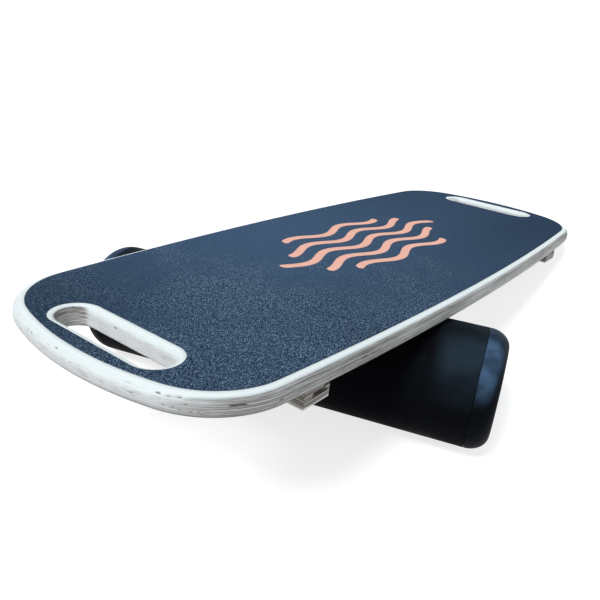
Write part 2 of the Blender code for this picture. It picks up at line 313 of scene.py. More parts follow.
@dataclass(frozen=True)
class PlywoodEdge:
    """An edge of plywood, rounded at its bottom and its top, with a fine groove at each glue line."""

    MOST_OF_PLY: ClassVar[float] = 0.999

    bottom: float
    top: float
    bottom_rounding: float
    top_rounding: float
    plies: int
    groove_depth: float = 0.00007
    groove_half_width: float = 0.00022
    longest_step: float = 0.0009

    @property
    def ply(self) -> float:
        """The thickness of one ply."""
        return (self.top - self.bottom) / self.plies

    @property
    def length(self) -> float:
        """The way up the edge from the bottom face to the top face."""
        upright = self.top - self.bottom - self.bottom_rounding - self.top_rounding
        return QUARTER_TURN * (self.bottom_rounding + self.top_rounding) + upright

    def way_to(self, height: float) -> float:
        """How far up the edge a height is reached.

        Args:
            height: The height.

        Returns:
            The way from the bottom face.
        """
        over_bottom = height - self.bottom
        if over_bottom < self.bottom_rounding:
            return self.bottom_rounding * math.acos(1.0 - over_bottom / self.bottom_rounding)
        under_top = self.top - height
        if under_top < self.top_rounding:
            return self.length - self.top_rounding * math.acos(1.0 - under_top / self.top_rounding)
        return QUARTER_TURN * self.bottom_rounding + over_bottom - self.bottom_rounding

    def point_at(self, way: float, sink: float) -> EdgePoint:
        """Finds the point at a way up the edge.

        Args:
            way: The way from the bottom face.
            sink: How far the point is sunk into the wood.

        Returns:
            The point.
        """
        lower_arc = QUARTER_TURN * self.bottom_rounding
        upper_arc = QUARTER_TURN * self.top_rounding
        if way < lower_arc:
            turn = way / self.bottom_rounding - QUARTER_TURN
            setback = self.bottom_rounding * (1.0 - math.cos(turn))
            height = self.bottom + self.bottom_rounding * (1.0 + math.sin(turn))
        elif way > self.length - upper_arc:
            turn = QUARTER_TURN - (self.length - way) / self.top_rounding
            setback = self.top_rounding * (1.0 - math.cos(turn))
            height = self.top - self.top_rounding * (1.0 - math.sin(turn))
        else:
            turn = 0.0
            setback = 0.0
            height = self.bottom + self.bottom_rounding + way - lower_arc
        plies_up = min(max((height - self.bottom) / self.ply, 0.0), self.plies - 1 + self.MOST_OF_PLY)
        ply = int(plies_up)
        setback += sink * math.cos(turn)
        return EdgePoint(setback, height - sink * math.sin(turn), turn, ply, plies_up - ply)

    def points(self) -> list[EdgePoint]:
        """The points up the edge, closer together at the glue lines.

        Returns:
            The points, from the bottom face to the top face.
        """
        joints = [self.way_to(self.bottom + self.ply * number) for number in range(1, self.plies)]
        stops = [0.0]
        for joint in joints:
            stops += [joint - self.groove_half_width, joint, joint + self.groove_half_width]
        stops.append(self.length)
        ways = []
        for start, end in zip(stops, stops[1:]):
            pieces = max(1, math.ceil((end - start) / self.longest_step))
            ways += [start + (end - start) * step / pieces for step in range(pieces)]
        ways.append(self.length)
        return [self.point_at(way, self.groove_depth if way in joints else 0.0) for way in ways]


class PieceMesh:
    """A closed mesh made of rings and filled faces, drawn in a piece's own frame."""

    VOID_LAYER: ClassVar[str] = "ply_void"
    VOID_FULL_DEPTH: ClassVar[float] = 0.00035
    HOLDING_MARGIN: ClassVar[float] = 0.0005
    SHARP_FROM: ClassVar[float] = math.radians(50)

    def __init__(self, name: str, placement: Placement) -> None:
        """Starts an empty mesh.

        Args:
            name: The piece's name.
            placement: Where the piece's own frame lies.
        """
        self.name = name
        self.placement = placement
        self.shape = bmesh.new()
        self.void_layer = self.shape.verts.layers.float.new(self.VOID_LAYER)

    def ring(self, points: Iterable[Sequence[float]], darkness: Sequence[float] = ()) -> Ring:
        """Adds a ring of vertices.

        Args:
            points: The ring's points.
            darkness: How far each point is inside a void, from 0 to 1, or nothing where there are no voids.

        Returns:
            The vertices.
        """
        verts = [self.shape.verts.new(point) for point in points]
        for vert, share in zip(verts, darkness):
            vert[self.void_layer] = share
        return verts

    def bridge(self, *rings: Ring) -> None:
        """Joins each ring to the next by a band of faces.

        Args:
            rings: The rings, of equal count.
        """
        for lower, upper in zip(rings, rings[1:]):
            for here in range(len(lower)):
                after = (here + 1) % len(lower)
                self.shape.faces.new((lower[here], lower[after], upper[after], upper[here]))

    def fan(self, rim: Ring, pole: bmesh.types.BMVert) -> None:
        """Joins a ring to a pole by a fan of triangles."""
        for here, vert in enumerate(rim):
            self.shape.faces.new((vert, rim[(here + 1) % len(rim)], pole))

    def fill(self, *loops: Ring) -> None:
        """Fills a flat face.

        Args:
            loops: The face's outer loop, and the loops of the holes in it.
        """
        edges = []
        for loop in loops:
            for here, vert in enumerate(loop):
                after = loop[(here + 1) % len(loop)]
                edges.append(self.shape.edges.get((vert, after)) or self.shape.edges.new((vert, after)))
        bmesh.ops.triangle_fill(self.shape, use_beauty=True, use_dissolve=False, edges=edges)

    def flat_ring(
        self, outline: Sequence[OutlinePoint], centre: Sequence[float], setback: float, height: float
    ) -> Ring:
        """Adds a level ring.

        Args:
            outline: The outline that it follows.
            centre: Where the outline's own origin lies in plan.
            setback: How far into the wood from the outline it lies.
            height: Its height.

        Returns:
            The vertices.
        """
        places = [Vector(centre) + stop.place + setback * stop.inwards for stop in outline]
        return self.ring([(*place, height) for place in places])

    def plywood_wall(
        self,
        edge: PlywoodEdge,
        outline: Sequence[OutlinePoint],
        centre: Sequence[float],
        voids: Sequence[Void],
    ) -> tuple[Ring, Ring]:
        """Adds a plywood edge, and on both faces a ring a little way in, which keeps its shading to itself.

        Args:
            edge: The edge's profile.
            outline: The outline that it follows.
            centre: Where the outline's own origin lies in plan.
            voids: The voids in the edge.

        Returns:
            The rings on the bottom face and on the top face.
        """
        rings = []
        for point in edge.points():
            places = []
            darkness = []
            for stop in outline:
                depth = max((void.depth_at(point, stop.way) for void in voids), default=0.0)
                setback = point.setback + depth * math.cos(point.turn)
                place = Vector(centre) + stop.place + setback * stop.inwards
                places.append((*place, point.height - depth * math.sin(point.turn)))
                darkness.append(min(1.0, depth / self.VOID_FULL_DEPTH))
            rings.append(self.ring(places, darkness))
        lower = self.flat_ring(outline, centre, edge.bottom_rounding + self.HOLDING_MARGIN, edge.bottom)
        upper = self.flat_ring(outline, centre, edge.top_rounding + self.HOLDING_MARGIN, edge.top)
        self.bridge(lower, *rings, upper)
        return lower, upper

    def turned(self, profile: Sequence[tuple[float, float]], steps: int, closed: bool) -> None:
        """Turns a profile about the piece's Z.

        Args:
            profile: Pairs of radius and height. A radius of 0 is a pole.
            steps: How many steps the turn has.
            closed: Whether the profile's last point joins its first.
        """
        angles = [FULL_TURN * step / steps for step in range(steps)]
        rings = []
        for radius, height in profile:
            round_z = angles if radius else angles[:1]
            rings.append(self.ring([(radius * math.cos(a), radius * math.sin(a), height) for a in round_z]))
        for first, second in zip(rings, [*rings[1:], rings[0]] if closed else rings[1:]):
            if len(first) == 1:
                self.fan(second, first[0])
            elif len(second) == 1:
                self.fan(first, second[0])
            else:
                self.bridge(first, second)

    def finished(self, body: str, material: bpy.types.Material, node: str) -> None:
        """Makes the piece of the mesh and puts it on its body.

        Args:
            body: The CAD body that it rides on.
            material: Its material.
            node: The CAD node that it stands for.
        """
        bmesh.ops.recalc_face_normals(self.shape, faces=self.shape.faces)
        self.shape.transform(self.placement.matrix)
        mesh = bpy.data.meshes.new(self.name)
        self.shape.to_mesh(mesh)
        self.shape.free()
        mesh.shade_smooth()
        mesh.set_sharp_from_angle(angle=self.SHARP_FROM)
        mesh.materials.append(material)
        piece = bpy.data.objects.new(self.name, mesh)
        bpy.context.scene.collection.objects.link(piece)
        even = piece.modifiers.new("even_shading", "WEIGHTED_NORMAL")
        even.keep_sharp = True
        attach(piece, body)
        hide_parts(node)
        LOG.info("%s: %d faces, on %s, stands for %s", self.name, len(mesh.polygons), body, node)


@dataclass(frozen=True)
class Value:
    """What a node gives, as its socket: a number, vector or colour that varies over a surface, or light."""

    graph: "NodeGraph"
    socket: bpy.types.NodeSocket

    def maths(self, operation: str, *others: "Wiring", clamp: bool = False) -> "Value":
        """Works out a sum, with this number as its first.

        Args:
            operation: The sum's name.
            others: The numbers after this one.
            clamp: Whether the result is kept from 0 to 1.

        Returns:
            The result.
        """
        numbers = dict(enumerate((self, *others)))
        return self.graph.value("ShaderNodeMath", numbers, operation=operation, use_clamp=clamp)

    def __add__(self, other: "Wiring") -> "Value":
        """The sum of two numbers."""
        return self.maths("ADD", other)

    def __sub__(self, other: "Wiring") -> "Value":
        """The difference of two numbers."""
        return self.maths("SUBTRACT", other)

    def __rsub__(self, other: float) -> "Value":
        """The difference of a plain number and this one."""
        return self.graph.value("ShaderNodeMath", {0: other, 1: self}, operation="SUBTRACT")

    def __mul__(self, other: "Wiring") -> "Value":
        """The product of two numbers."""
        return self.maths("MULTIPLY", other)

    def __truediv__(self, other: "Wiring") -> "Value":
        """The quotient of two numbers."""
        return self.maths("DIVIDE", other)

    def __abs__(self) -> "Value":
        """The number without its sign."""
        return self.maths("ABSOLUTE")

    def toned(self, factor: "Wiring") -> "Value":
        """The colour, darker or lighter by a factor."""
        return self.graph.value("ShaderNodeVectorMath", {0: self, "Scale": factor}, operation="SCALE")

    def parts(self) -> list["Value"]:
        """The vector's three parts."""
        split = self.graph.add("ShaderNodeSeparateXYZ", {0: self})
        return [Value(self.graph, part) for part in split.outputs]


Wiring = Value | float | Sequence[float]


class NodeGraph:
    """A node graph, built a node at a time."""

    COLOUR_INPUTS: ClassVar[tuple[int, int]] = (6, 7)
    COLOUR_OUTPUT: ClassVar[int] = 2

    def __init__(self, tree: bpy.types.NodeTree) -> None:
        """Starts from the nodes that a tree has."""
        self.tree = tree

    def feed(self, socket: bpy.types.NodeSocket, value: Wiring) -> None:
        """Links a socket to a varying value, or sets it to a plain one.

        Args:
            socket: The socket.
            value: The value, for a colour without its alpha.
        """
        if isinstance(value, Value):
            self.tree.links.new(value.socket, socket)
        else:
            socket.default_value = (*value, 1.0) if socket.type == "RGBA" else value

    def add(self, kind: str, wiring: dict[str | int, Wiring], **settings: object) -> bpy.types.Node:
        """Adds a node.

        Args:
            kind: The node's type.
            wiring: What each of its inputs gets.
            settings: The node's own settings.

        Returns:
            The node.
        """
        node = self.tree.nodes.new(kind)
        for setting, value in settings.items():
            setattr(node, setting, value)
        for socket, value in wiring.items():
            self.feed(node.inputs[socket], value)
        return node

    def value(
        self, kind: str, wiring: dict[str | int, Wiring], output: str | int = 0, **settings: object
    ) -> Value:
        """Adds a node, and takes one of its outputs."""
        return Value(self, self.add(kind, wiring, **settings).outputs[output])

    def mixed(self, share: Wiring, first: Wiring, second: Wiring) -> Value:
        """Mixes two colours.

        Args:
            share: The second colour's share.
            first: The first colour.
            second: The second colour.

        Returns:
            The mixed colour.
        """
        wiring = {0: share, self.COLOUR_INPUTS[0]: first, self.COLOUR_INPUTS[1]: second}
        return self.value("ShaderNodeMix", wiring, self.COLOUR_OUTPUT, data_type="RGBA", clamp_factor=True)


class FinishNodes(NodeGraph):
    """The node graph of one finish, round its shader."""

    def __init__(self, name: str, **constants: Wiring) -> None:
        """Starts a material.

        Args:
            name: The material's name.
            constants: What sockets of its shader are set to, as dress takes them.
        """
        self.material = bpy.data.materials.new(name)
        self.material.use_nodes = True
        super().__init__(self.material.node_tree)
        self.shader = self.tree.nodes["Principled BSDF"]
        self.dress(**constants)

    def dress(self, **sockets: Wiring) -> None:
        """Feeds sockets of the shader, named with _ for each space."""
        for socket, value in sockets.items():
            self.feed(self.shader.inputs[socket.replace("_", " ")], value)

    def taken_into(self, placement: Placement, source: str, origin: Sequence[float]) -> Value:
        """Takes a vector of the object's into a piece's own frame.

        Args:
            placement: Where that frame lies.
            source: The vector's name.
            origin: The point that becomes the origin.

        Returns:
            The vector in that frame.
        """
        vector = self.value("ShaderNodeTexCoord", {}, source)
        wiring = {"Vector": vector, "Location": origin, "Rotation": placement.matrix.to_euler()}
        return self.value("ShaderNodeMapping", wiring, vector_type="TEXTURE")

    def place_in(self, placement: Placement) -> Value:
        """The shaded point in a piece's own frame, which stays with the piece when it moves."""
        return self.taken_into(placement, "Object", placement.matrix.translation)

    def normal_in(self, placement: Placement) -> Value:
        """The surface's normal in a piece's own frame."""
        return self.taken_into(placement, "Normal", (0.0, 0.0, 0.0))

    def grains(self, place: Value, per_metre: float) -> tuple[Value, Value]:
        """Cells of uneven size, as each cell's random colour and the nearness of its middle."""
        cells = self.add("ShaderNodeTexVoronoi", {"Vector": place, "Scale": per_metre})
        return Value(self, cells.outputs["Color"]), 1.0 - Value(self, cells.outputs["Distance"])

    def raise_surface(self, *reliefs: tuple[Value, float]) -> None:
        """Gives the shader its fine relief.

        Args:
            reliefs: Pairs of a height from 0 to 1 and the real height that 1 stands for.
        """
        below = {}
        for height, depth in reliefs:
            wiring = {"Height": height, "Distance": depth, "Strength": 1.0, **below}
            below = {"Normal": self.value("ShaderNodeBump", wiring)}
        self.dress(**below)


@dataclass(frozen=True)
class Ramp:
    """A smooth change from one number to another over a range."""

    low: float
    high: float
    at_low: float = 0.0
    at_high: float = 1.0

    def of(self, value: Value) -> Value:
        """Puts a value through the ramp.

        Args:
            value: The value.

        Returns:
            What the ramp makes of it.
        """
        wiring = {"Value": value, "From Min": self.low, "From Max": self.high}
        wiring |= {"To Min": self.at_low, "To Max": self.at_high}
        return value.graph.value("ShaderNodeMapRange", wiring, interpolation_type="SMOOTHSTEP")


@dataclass(frozen=True)
class Clouds:
    """Cloudy noise, with its own fineness along each axis."""

    MEAN: ClassVar[float] = 0.5

    per_metre: Sequence[float]
    detail: float = 2.0
    twist: float = 0.0

    def over(self, place: Value) -> Value:
        """Looks the noise up.

        Args:
            place: Where it is looked up.

        Returns:
            The noise there, with MEAN as its average.
        """
        graph = place.graph
        drawn_out = graph.value("ShaderNodeVectorMath", {0: place, 1: self.per_metre}, operation="MULTIPLY")
        wiring = {"Vector": drawn_out, "Scale": 1.0, "Detail": self.detail, "Distortion": self.twist}
        return graph.value("ShaderNodeTexNoise", wiring)


class WoodSpot:
    """The shaded point of a piece of plywood: its place, the way it faces, and the noises there.

    Most of the noises are drawn out level and fine across the plies.
    """

    FINENESS_ALONG_GRAIN: ClassVar[float] = 7.0
    FINENESS_ACROSS_GRAIN: ClassVar[float] = 230.0
    GRAIN_LINES: ClassVar[Ramp] = Ramp(0.45, 0.75)

    def __init__(self, nodes: FinishNodes, placement: Placement, outer_grain: Grain) -> None:
        """Adds what a plywood finish is worked out from.

        Args:
            nodes: The finish's nodes.
            placement: The piece's own frame.
            outer_grain: The way the outer veneers' grain runs.
        """
        self.nodes = nodes
        place = nodes.place_in(placement)
        self.x, self.y, self.height = place.parts()
        _, self.facing_side, self.facing_up = nodes.normal_in(placement).parts()
        self.wander = Clouds((22.0, 22.0, 120.0)).over(place)
        self.patches = Clouds((13.0, 13.0, 110.0), 3.0, 0.3).over(place)
        self.long_streaks = Clouds((26.0, 26.0, 1500.0), 3.0, 0.3).over(place)
        self.short_streaks = Clouds((130.0, 130.0, 2400.0), 3.0, 0.4).over(place)
        self.hairlines = Clouds((70.0, 70.0, 3600.0), 2.0, 0.2).over(place)
        self.pores = Clouds((900.0, 900.0, 1600.0), 1.0).over(place)
        in_plan = [self.FINENESS_ACROSS_GRAIN] * 2
        in_plan[outer_grain.value] = self.FINENESS_ALONG_GRAIN
        self.face_grain = self.GRAIN_LINES.of(Clouds((*in_plan, 60.0), 4.0, 0.6).over(place))


@dataclass(frozen=True, kw_only=True)
class PlywoodFinish:
    """Plywood, whose plies, glue lines, streaks, torn fibres and voids show at its edges."""

    SPECULAR: ClassVar[float] = 0.30
    FLAT_FACE: ClassVar[Ramp] = Ramp(0.93, 0.995)
    UNDERSIDE: ClassVar[Ramp] = Ramp(-0.99, -0.90, 1.0, 0.0)
    PLY_WANDER: ClassVar[float] = 0.5
    SIDE_OF_BOARD: ClassVar[Ramp] = Ramp(0.55, 0.80)
    END_GRAIN_WEIGHT: ClassVar[float] = 0.50
    CHANCE_WEIGHT: ClassVar[float] = 0.50
    STREAK_WEIGHT: ClassVar[float] = 1.7
    PATCH_TONE: ClassVar[Ramp] = Ramp(0.30, 0.68, 0.55, 1.20)
    GLUE_LINE_WIDTH: ClassVar[Ramp] = Ramp(0.06, 0.20, 0.95, 0.0)
    GLUE_LINE_BREAKS: ClassVar[Ramp] = Ramp(0.72, 1.12, 0.35, 1.0)
    FLECK_CLUSTERS: ClassVar[Ramp] = Ramp(0.48, 0.66)
    FLECK_DASHES: ClassVar[Ramp] = Ramp(0.60, 0.72)
    VOID_RAGGEDNESS: ClassVar[float] = 1.6
    VOID_TORN_AND_SHADED: ClassVar[Ramp] = Ramp(0.25, 0.80)
    VOID_BORDER: ClassVar[Ramp] = Ramp(0.02, 0.20)
    ROUGHNESS_SPREAD: ClassVar[float] = 0.25
    PORE_RELIEF: ClassVar[float] = 0.00004
    SHORT_STREAK_RELIEF: ClassVar[float] = 0.00006
    LONG_STREAK_RELIEF: ClassVar[float] = 0.00013
    FACE_GRAIN_RELIEF: ClassVar[float] = 0.00003

    name: str
    placement: Placement
    bottom: float
    ply: float
    outer_grain: Grain
    pale_ply: Colour
    dark_ply: Colour
    pale_veneer: Colour
    dark_veneer: Colour
    glue_line: Colour
    fleck: Colour
    # The voids' colour: dark torn wood, and painted shade in the recess.
    void: Colour
    least_roughness: float
    seed_shift: float = 0.0

    def material(self) -> bpy.types.Material:
        """Builds the finish.

        Returns:
            The material.
        """
        nodes = FinishNodes(self.name, Specular_IOR_Level=self.SPECULAR)
        spot = WoodSpot(nodes, self.placement, self.outer_grain)
        veneer = nodes.mixed(spot.face_grain, self.pale_veneer, self.dark_veneer)
        surface = self.surface(spot, self.edge(spot), veneer)
        # The voids are painted very dark: their torn wood, and painted shade in the recess.
        void = nodes.value("ShaderNodeAttribute", {}, "Fac", attribute_name=PieceMesh.VOID_LAYER)
        ragged = (spot.short_streaks - Clouds.MEAN) * self.VOID_RAGGEDNESS + void
        torn_and_shaded = self.VOID_TORN_AND_SHADED.of(ragged) * self.VOID_BORDER.of(void)
        nodes.dress(
            Base_Color=nodes.mixed(torn_and_shaded, surface, self.void),
            Roughness=spot.short_streaks * self.ROUGHNESS_SPREAD + self.least_roughness,
        )
        nodes.raise_surface(
            (spot.pores, self.PORE_RELIEF),
            (spot.short_streaks, self.SHORT_STREAK_RELIEF),
            (spot.long_streaks, self.LONG_STREAK_RELIEF),
            (spot.face_grain, self.FACE_GRAIN_RELIEF),
        )
        return nodes.material

    def plies_up(self, spot: WoodSpot) -> Value:
        """The height over the underside, counted in plies."""
        return (spot.height - self.bottom) / self.ply

    def edge(self, spot: WoodSpot) -> Value:
        """The edge's colour: plies darker in end grain, glue lines between them, and clusters of torn fibres.

        Args:
            spot: The shaded point.

        Returns:
            The colour.
        """
        nodes = spot.nodes
        plies_up = self.plies_up(spot) + (spot.wander - Clouds.MEAN) * self.PLY_WANDER
        ply = plies_up.maths("FLOOR")
        seed = nodes.value("ShaderNodeCombineXYZ", {0: ply, 1: self.seed_shift})
        chance = nodes.value("ShaderNodeTexWhiteNoise", {"Vector": seed})
        crosswise = (ply + float(self.outer_grain.value)).maths("PINGPONG", 1.0)
        end_grain = abs(crosswise - self.SIDE_OF_BOARD.of(abs(spot.facing_side)))
        own_tone = end_grain * self.END_GRAIN_WEIGHT + chance * self.CHANCE_WEIGHT
        streaky = (spot.long_streaks - Clouds.MEAN) * self.STREAK_WEIGHT + own_tone
        tone = streaky.maths("MULTIPLY", self.PATCH_TONE.of(spot.patches), clamp=True)
        wood = nodes.mixed(tone, self.pale_ply, self.dark_ply)
        to_joint = 0.5 - abs(plies_up.maths("FRACT") - 0.5)
        line = self.GLUE_LINE_WIDTH.of(to_joint) * self.GLUE_LINE_BREAKS.of(spot.patches + spot.hairlines)
        wood = nodes.mixed(line, wood, self.glue_line)
        dashes = self.FLECK_DASHES.of(spot.short_streaks) * self.FLECK_CLUSTERS.of(spot.patches)
        return nodes.mixed(dashes, wood, self.fleck)

    def surface(self, spot: WoodSpot, edge: Value, veneer: Value) -> Value:
        """The bare wood: its edge's colour, and veneer on its flat faces.

        Args:
            spot: The shaded point.
            edge: The edge's colour.
            veneer: The outer veneers' colour.

        Returns:
            The colour.
        """
        return spot.nodes.mixed(self.FLAT_FACE.of(abs(spot.facing_up)), edge, veneer)


@dataclass(frozen=True, kw_only=True)
class FootLitPlywood(PlywoodFinish):
    """Bare plywood, with painted light from the floor along the foot of its edges."""

    # Painted light from the pale floor along the lowest plies and the bottom chamfer, weaker on the underside.
    FOOT_REACH: ClassVar[Ramp] = Ramp(1.20, 1.65, 0.95, 0.0)
    FOOT_BELOW: ClassVar[Ramp] = Ramp(0.0, 1.0, 1.0, 0.35)

    outer_grain: Grain = Grain.ALONG_Y
    pale_ply: Colour = (0.50, 0.47, 0.43)
    dark_ply: Colour = (0.165, 0.135, 0.115)
    pale_veneer: Colour = (0.52, 0.48, 0.42)
    dark_veneer: Colour = (0.33, 0.28, 0.22)
    glue_line: Colour = (0.075, 0.060, 0.050)
    fleck: Colour = (0.050, 0.040, 0.034)
    # Dark torn wood and painted shade in the voids.
    void: Colour = (0.036, 0.029, 0.024)
    # The painted light along the foot.
    painted_foot_light: Colour = (0.93, 0.92, 0.90)
    least_roughness: float = 0.45

    def surface(self, spot: WoodSpot, edge: Value, veneer: Value) -> Value:
        """The bare wood with painted light along its foot.

        Args:
            spot: The shaded point.
            edge: The edge's colour.
            veneer: The outer veneers' colour.

        Returns:
            The colour.
        """
        foot = self.FOOT_REACH.of(self.plies_up(spot) + spot.short_streaks)
        foot *= self.FOOT_BELOW.of(self.UNDERSIDE.of(spot.facing_up))
        return spot.nodes.mixed(foot, super().surface(spot, edge, veneer), self.painted_foot_light)


@dataclass(frozen=True, kw_only=True)
class WashedPlywood(PlywoodFinish):
    """Plywood under a white wash, which hides it on top, less down the edge, and least along the sides."""

    # Painted shade and light on the bare edge wood: darker where it faces up, lighter where it faces down.
    EDGE_TONE: ClassVar[Ramp] = Ramp(-0.60, 0.75, 1.22, 0.55)
    # Painted shade on the surfaces that face down, darkest at the bottom rounding.
    BOTTOM_TONE: ClassVar[Ramp] = Ramp(-0.66, -0.20, 0.50, 1.0)
    BRUSHED_COVER: ClassVar[Ramp] = Ramp(0.0, 1.0, 0.50, 0.25)
    COVER: ClassVar[float] = 1.17
    # The wash worn off surfaces facing the near side: partly wear, partly painted shade on that side.
    NEAR_SIDE_WEAR_AND_SHADE: ClassVar[Ramp] = Ramp(-0.88, 0.02, 1.14, 0.0)
    FAR_SIDE_WEAR: ClassVar[Ramp] = Ramp(0.35, 1.00, 0.0, 0.684)
    TOP_COVER: ClassVar[Ramp] = Ramp(0.74, 0.94, 0.0, 0.95)
    # Less wash where the rounding faces down, darker towards the bottom.
    LESS_WASH_FACING_DOWN: ClassVar[Ramp] = Ramp(-0.84, -0.45, -0.80, 0.0)
    PATCH_WEAR: ClassVar[float] = -0.8
    LONG_STREAK_WEAR: ClassVar[float] = -0.9
    SHORT_STREAK_WEAR: ClassVar[float] = -0.8
    # Painted light and shade on the wash: lit and shaded copies by facing, lighter on the flat rim, a darker band
    # on the near side's rounding.
    LIT_WASH: ClassVar[Ramp] = Ramp(-0.15, 0.62)
    RIM_TONE: ClassVar[Ramp] = Ramp(0.84, 0.97, 0.98, 1.07)
    ROUNDING_TONE: ClassVar[Ramp] = Ramp(-0.62, -0.22, 0.82, 1.0)
    SIDE_TONE: ClassVar[Ramp] = Ramp(-0.97, -0.75, 1.22, 1.0)
    HAIRS: ClassVar[Ramp] = Ramp(0.57, 0.68, 0.0, 0.50)
    HAIRS_REACH: ClassVar[Ramp] = Ramp(0.35, 0.80, 1.0, 0.0)
    NICKS: ClassVar[Ramp] = Ramp(0.60, 0.68, 0.0, 0.90)
    NICK_CLUSTERS: ClassVar[Ramp] = Ramp(0.55, 0.62)
    NICKS_REACH: ClassVar[Ramp] = Ramp(0.55, 0.95, 1.0, 0.0)
    SLOTS_ALONG: ClassVar[Ramp] = Ramp(0.354, 0.356, 1.0, 0.0)
    SLOTS_ACROSS: ClassVar[Ramp] = Ramp(0.070, 0.076, 1.0, 0.0)
    SLOT_END: ClassVar[Ramp] = Ramp(-0.95, -0.05, 1.0, 0.0)
    # Painted shade: the near slot's end facing the near side loses its wash; the far slot's end keeps its full
    # wash.
    SLOT_END_WASH_AND_SHADE: ClassVar[Ramp] = Ramp(-0.10, 0.10, -1.00, 1.50)

    outer_grain: Grain = Grain.ALONG_X
    pale_ply: Colour = (0.66, 0.65, 0.63)
    dark_ply: Colour = (0.25, 0.24, 0.225)
    pale_veneer: Colour = (0.68, 0.63, 0.55)
    dark_veneer: Colour = (0.46, 0.40, 0.32)
    glue_line: Colour = (0.125, 0.115, 0.105)
    fleck: Colour = (0.085, 0.075, 0.065)
    # Dark torn wood and painted shade in the voids.
    void: Colour = (0.052, 0.046, 0.041)
    wash: Colour = (0.715, 0.775, 0.785)
    shaded_wash: Colour = (0.665, 0.680, 0.690)
    least_roughness: float = 0.34

    def surface(self, spot: WoodSpot, edge: Value, veneer: Value) -> Value:
        """The washed wood, with a thin brushed wash on its underside, and painted light and shade by the way it
        faces.

        Args:
            spot: The shaded point.
            edge: The edge's colour.
            veneer: The outer veneers' colour.

        Returns:
            The colour.
        """
        nodes = spot.nodes
        # The bare edge wood takes painted shade facing up and painted light facing down.
        wood = super().surface(spot, edge.toned(self.EDGE_TONE.of(spot.facing_up)), veneer)
        washed = nodes.mixed(self.cover(spot), wood, self.wash_colour(spot))
        hairs = self.HAIRS.of(spot.hairlines) * self.HAIRS_REACH.of(spot.facing_up)
        nicks = self.NICKS.of(spot.short_streaks) * self.NICK_CLUSTERS.of(spot.patches)
        nicks *= self.NICKS_REACH.of(spot.facing_up)
        washed = nodes.mixed(hairs.maths("MAXIMUM", nicks), washed, self.fleck)
        # Painted shade on the surfaces that face down.
        washed = washed.toned(self.BOTTOM_TONE.of(spot.facing_up))
        brushed = nodes.mixed(self.BRUSHED_COVER.of(spot.face_grain), veneer, self.shaded_wash)
        return nodes.mixed(self.UNDERSIDE.of(spot.facing_up), washed, brushed)

    def cover(self, spot: WoodSpot) -> Value:
        """How well the wash covers the wood, with painted shade in its wear on the near side and at the near
        slot's end.

        Args:
            spot: The shaded point.

        Returns:
            The wash's share, from 0 to 1.
        """
        # Wear on surfaces facing the near side, partly painted shade on that side.
        near_side = self.NEAR_SIDE_WEAR_AND_SHADE.of(spot.facing_side)
        cover = self.COVER - near_side.maths("MAXIMUM", self.FAR_SIDE_WEAR.of(spot.facing_side))
        in_slots = self.SLOTS_ALONG.of(abs(spot.x)) * self.SLOTS_ACROSS.of(abs(spot.y))
        # Painted shade at the near slot's end; the far slot's end keeps its wash.
        cover += in_slots * self.SLOT_END.of(spot.facing_side) * self.SLOT_END_WASH_AND_SHADE.of(spot.x)
        cover += (spot.patches - Clouds.MEAN) * self.PATCH_WEAR
        cover += (spot.long_streaks - Clouds.MEAN) * self.LONG_STREAK_WEAR
        cover += (spot.short_streaks - Clouds.MEAN) * self.SHORT_STREAK_WEAR
        cover += self.LESS_WASH_FACING_DOWN.of(spot.facing_up)
        return cover.maths("ADD", self.TOP_COVER.of(spot.facing_up), clamp=True)

    def wash_colour(self, spot: WoodSpot) -> Value:
        """The wash's colour, with painted light and shade by the way it faces.

        Args:
            spot: The shaded point.

        Returns:
            The colour.
        """
        # Painted light and shade: the lit copy facing up, lighter on the flat rim, darker in a band over the near
        # side's rounding.
        colour = spot.nodes.mixed(self.LIT_WASH.of(spot.facing_up), self.shaded_wash, self.wash)
        colour = colour.toned(self.RIM_TONE.of(spot.facing_up))
        colour = colour.toned(self.ROUNDING_TONE.of(spot.facing_side))
        return colour.toned(self.SIDE_TONE.of(spot.facing_side))


@dataclass(frozen=True)
class WavePrint:
    """The print on the grip sheet: long wavy lines with round ends, shorter from the middle one outwards."""

    middle: tuple[float, float] = (0.022, 0.012)
    lines: int = 5
    pitch: float = 0.0240
    half_thickness: float = 0.0045
    wave_length: float = 0.094
    wave_height: float = 0.0066
    half_length: float = 0.146
    shorter_by: float = 0.031
    edge_softness: float = 0.0003

    def mask(self, x: Value, y: Value) -> Value:
        """Builds the print's mask.

        Args:
            x: The place along the board.
            y: The place across it.

        Returns:
            1 in the print and 0 beside it.
        """
        along = x - self.middle[0]
        phase = along * (FULL_TURN / self.wave_length)
        across = y - self.middle[1] - phase.maths("SINE") * self.wave_height
        slope = phase.maths("COSINE") * (self.wave_height * FULL_TURN / self.wave_length)
        outermost = (self.lines - 1) / 2
        line = (across / self.pitch).maths("ROUND").maths("MINIMUM", outermost).maths("MAXIMUM", -outermost)
        off_line = (across - line * self.pitch) / (slope * slope + 1.0).maths("SQRT")
        reach = self.half_length - abs(line) * self.shorter_by
        past_end = (abs(along) - reach).maths("MAXIMUM", 0.0)
        off_middle = (off_line * off_line + past_end * past_end).maths("SQRT")
        return Ramp(-self.edge_softness, self.edge_softness).of(self.half_thickness - off_middle)


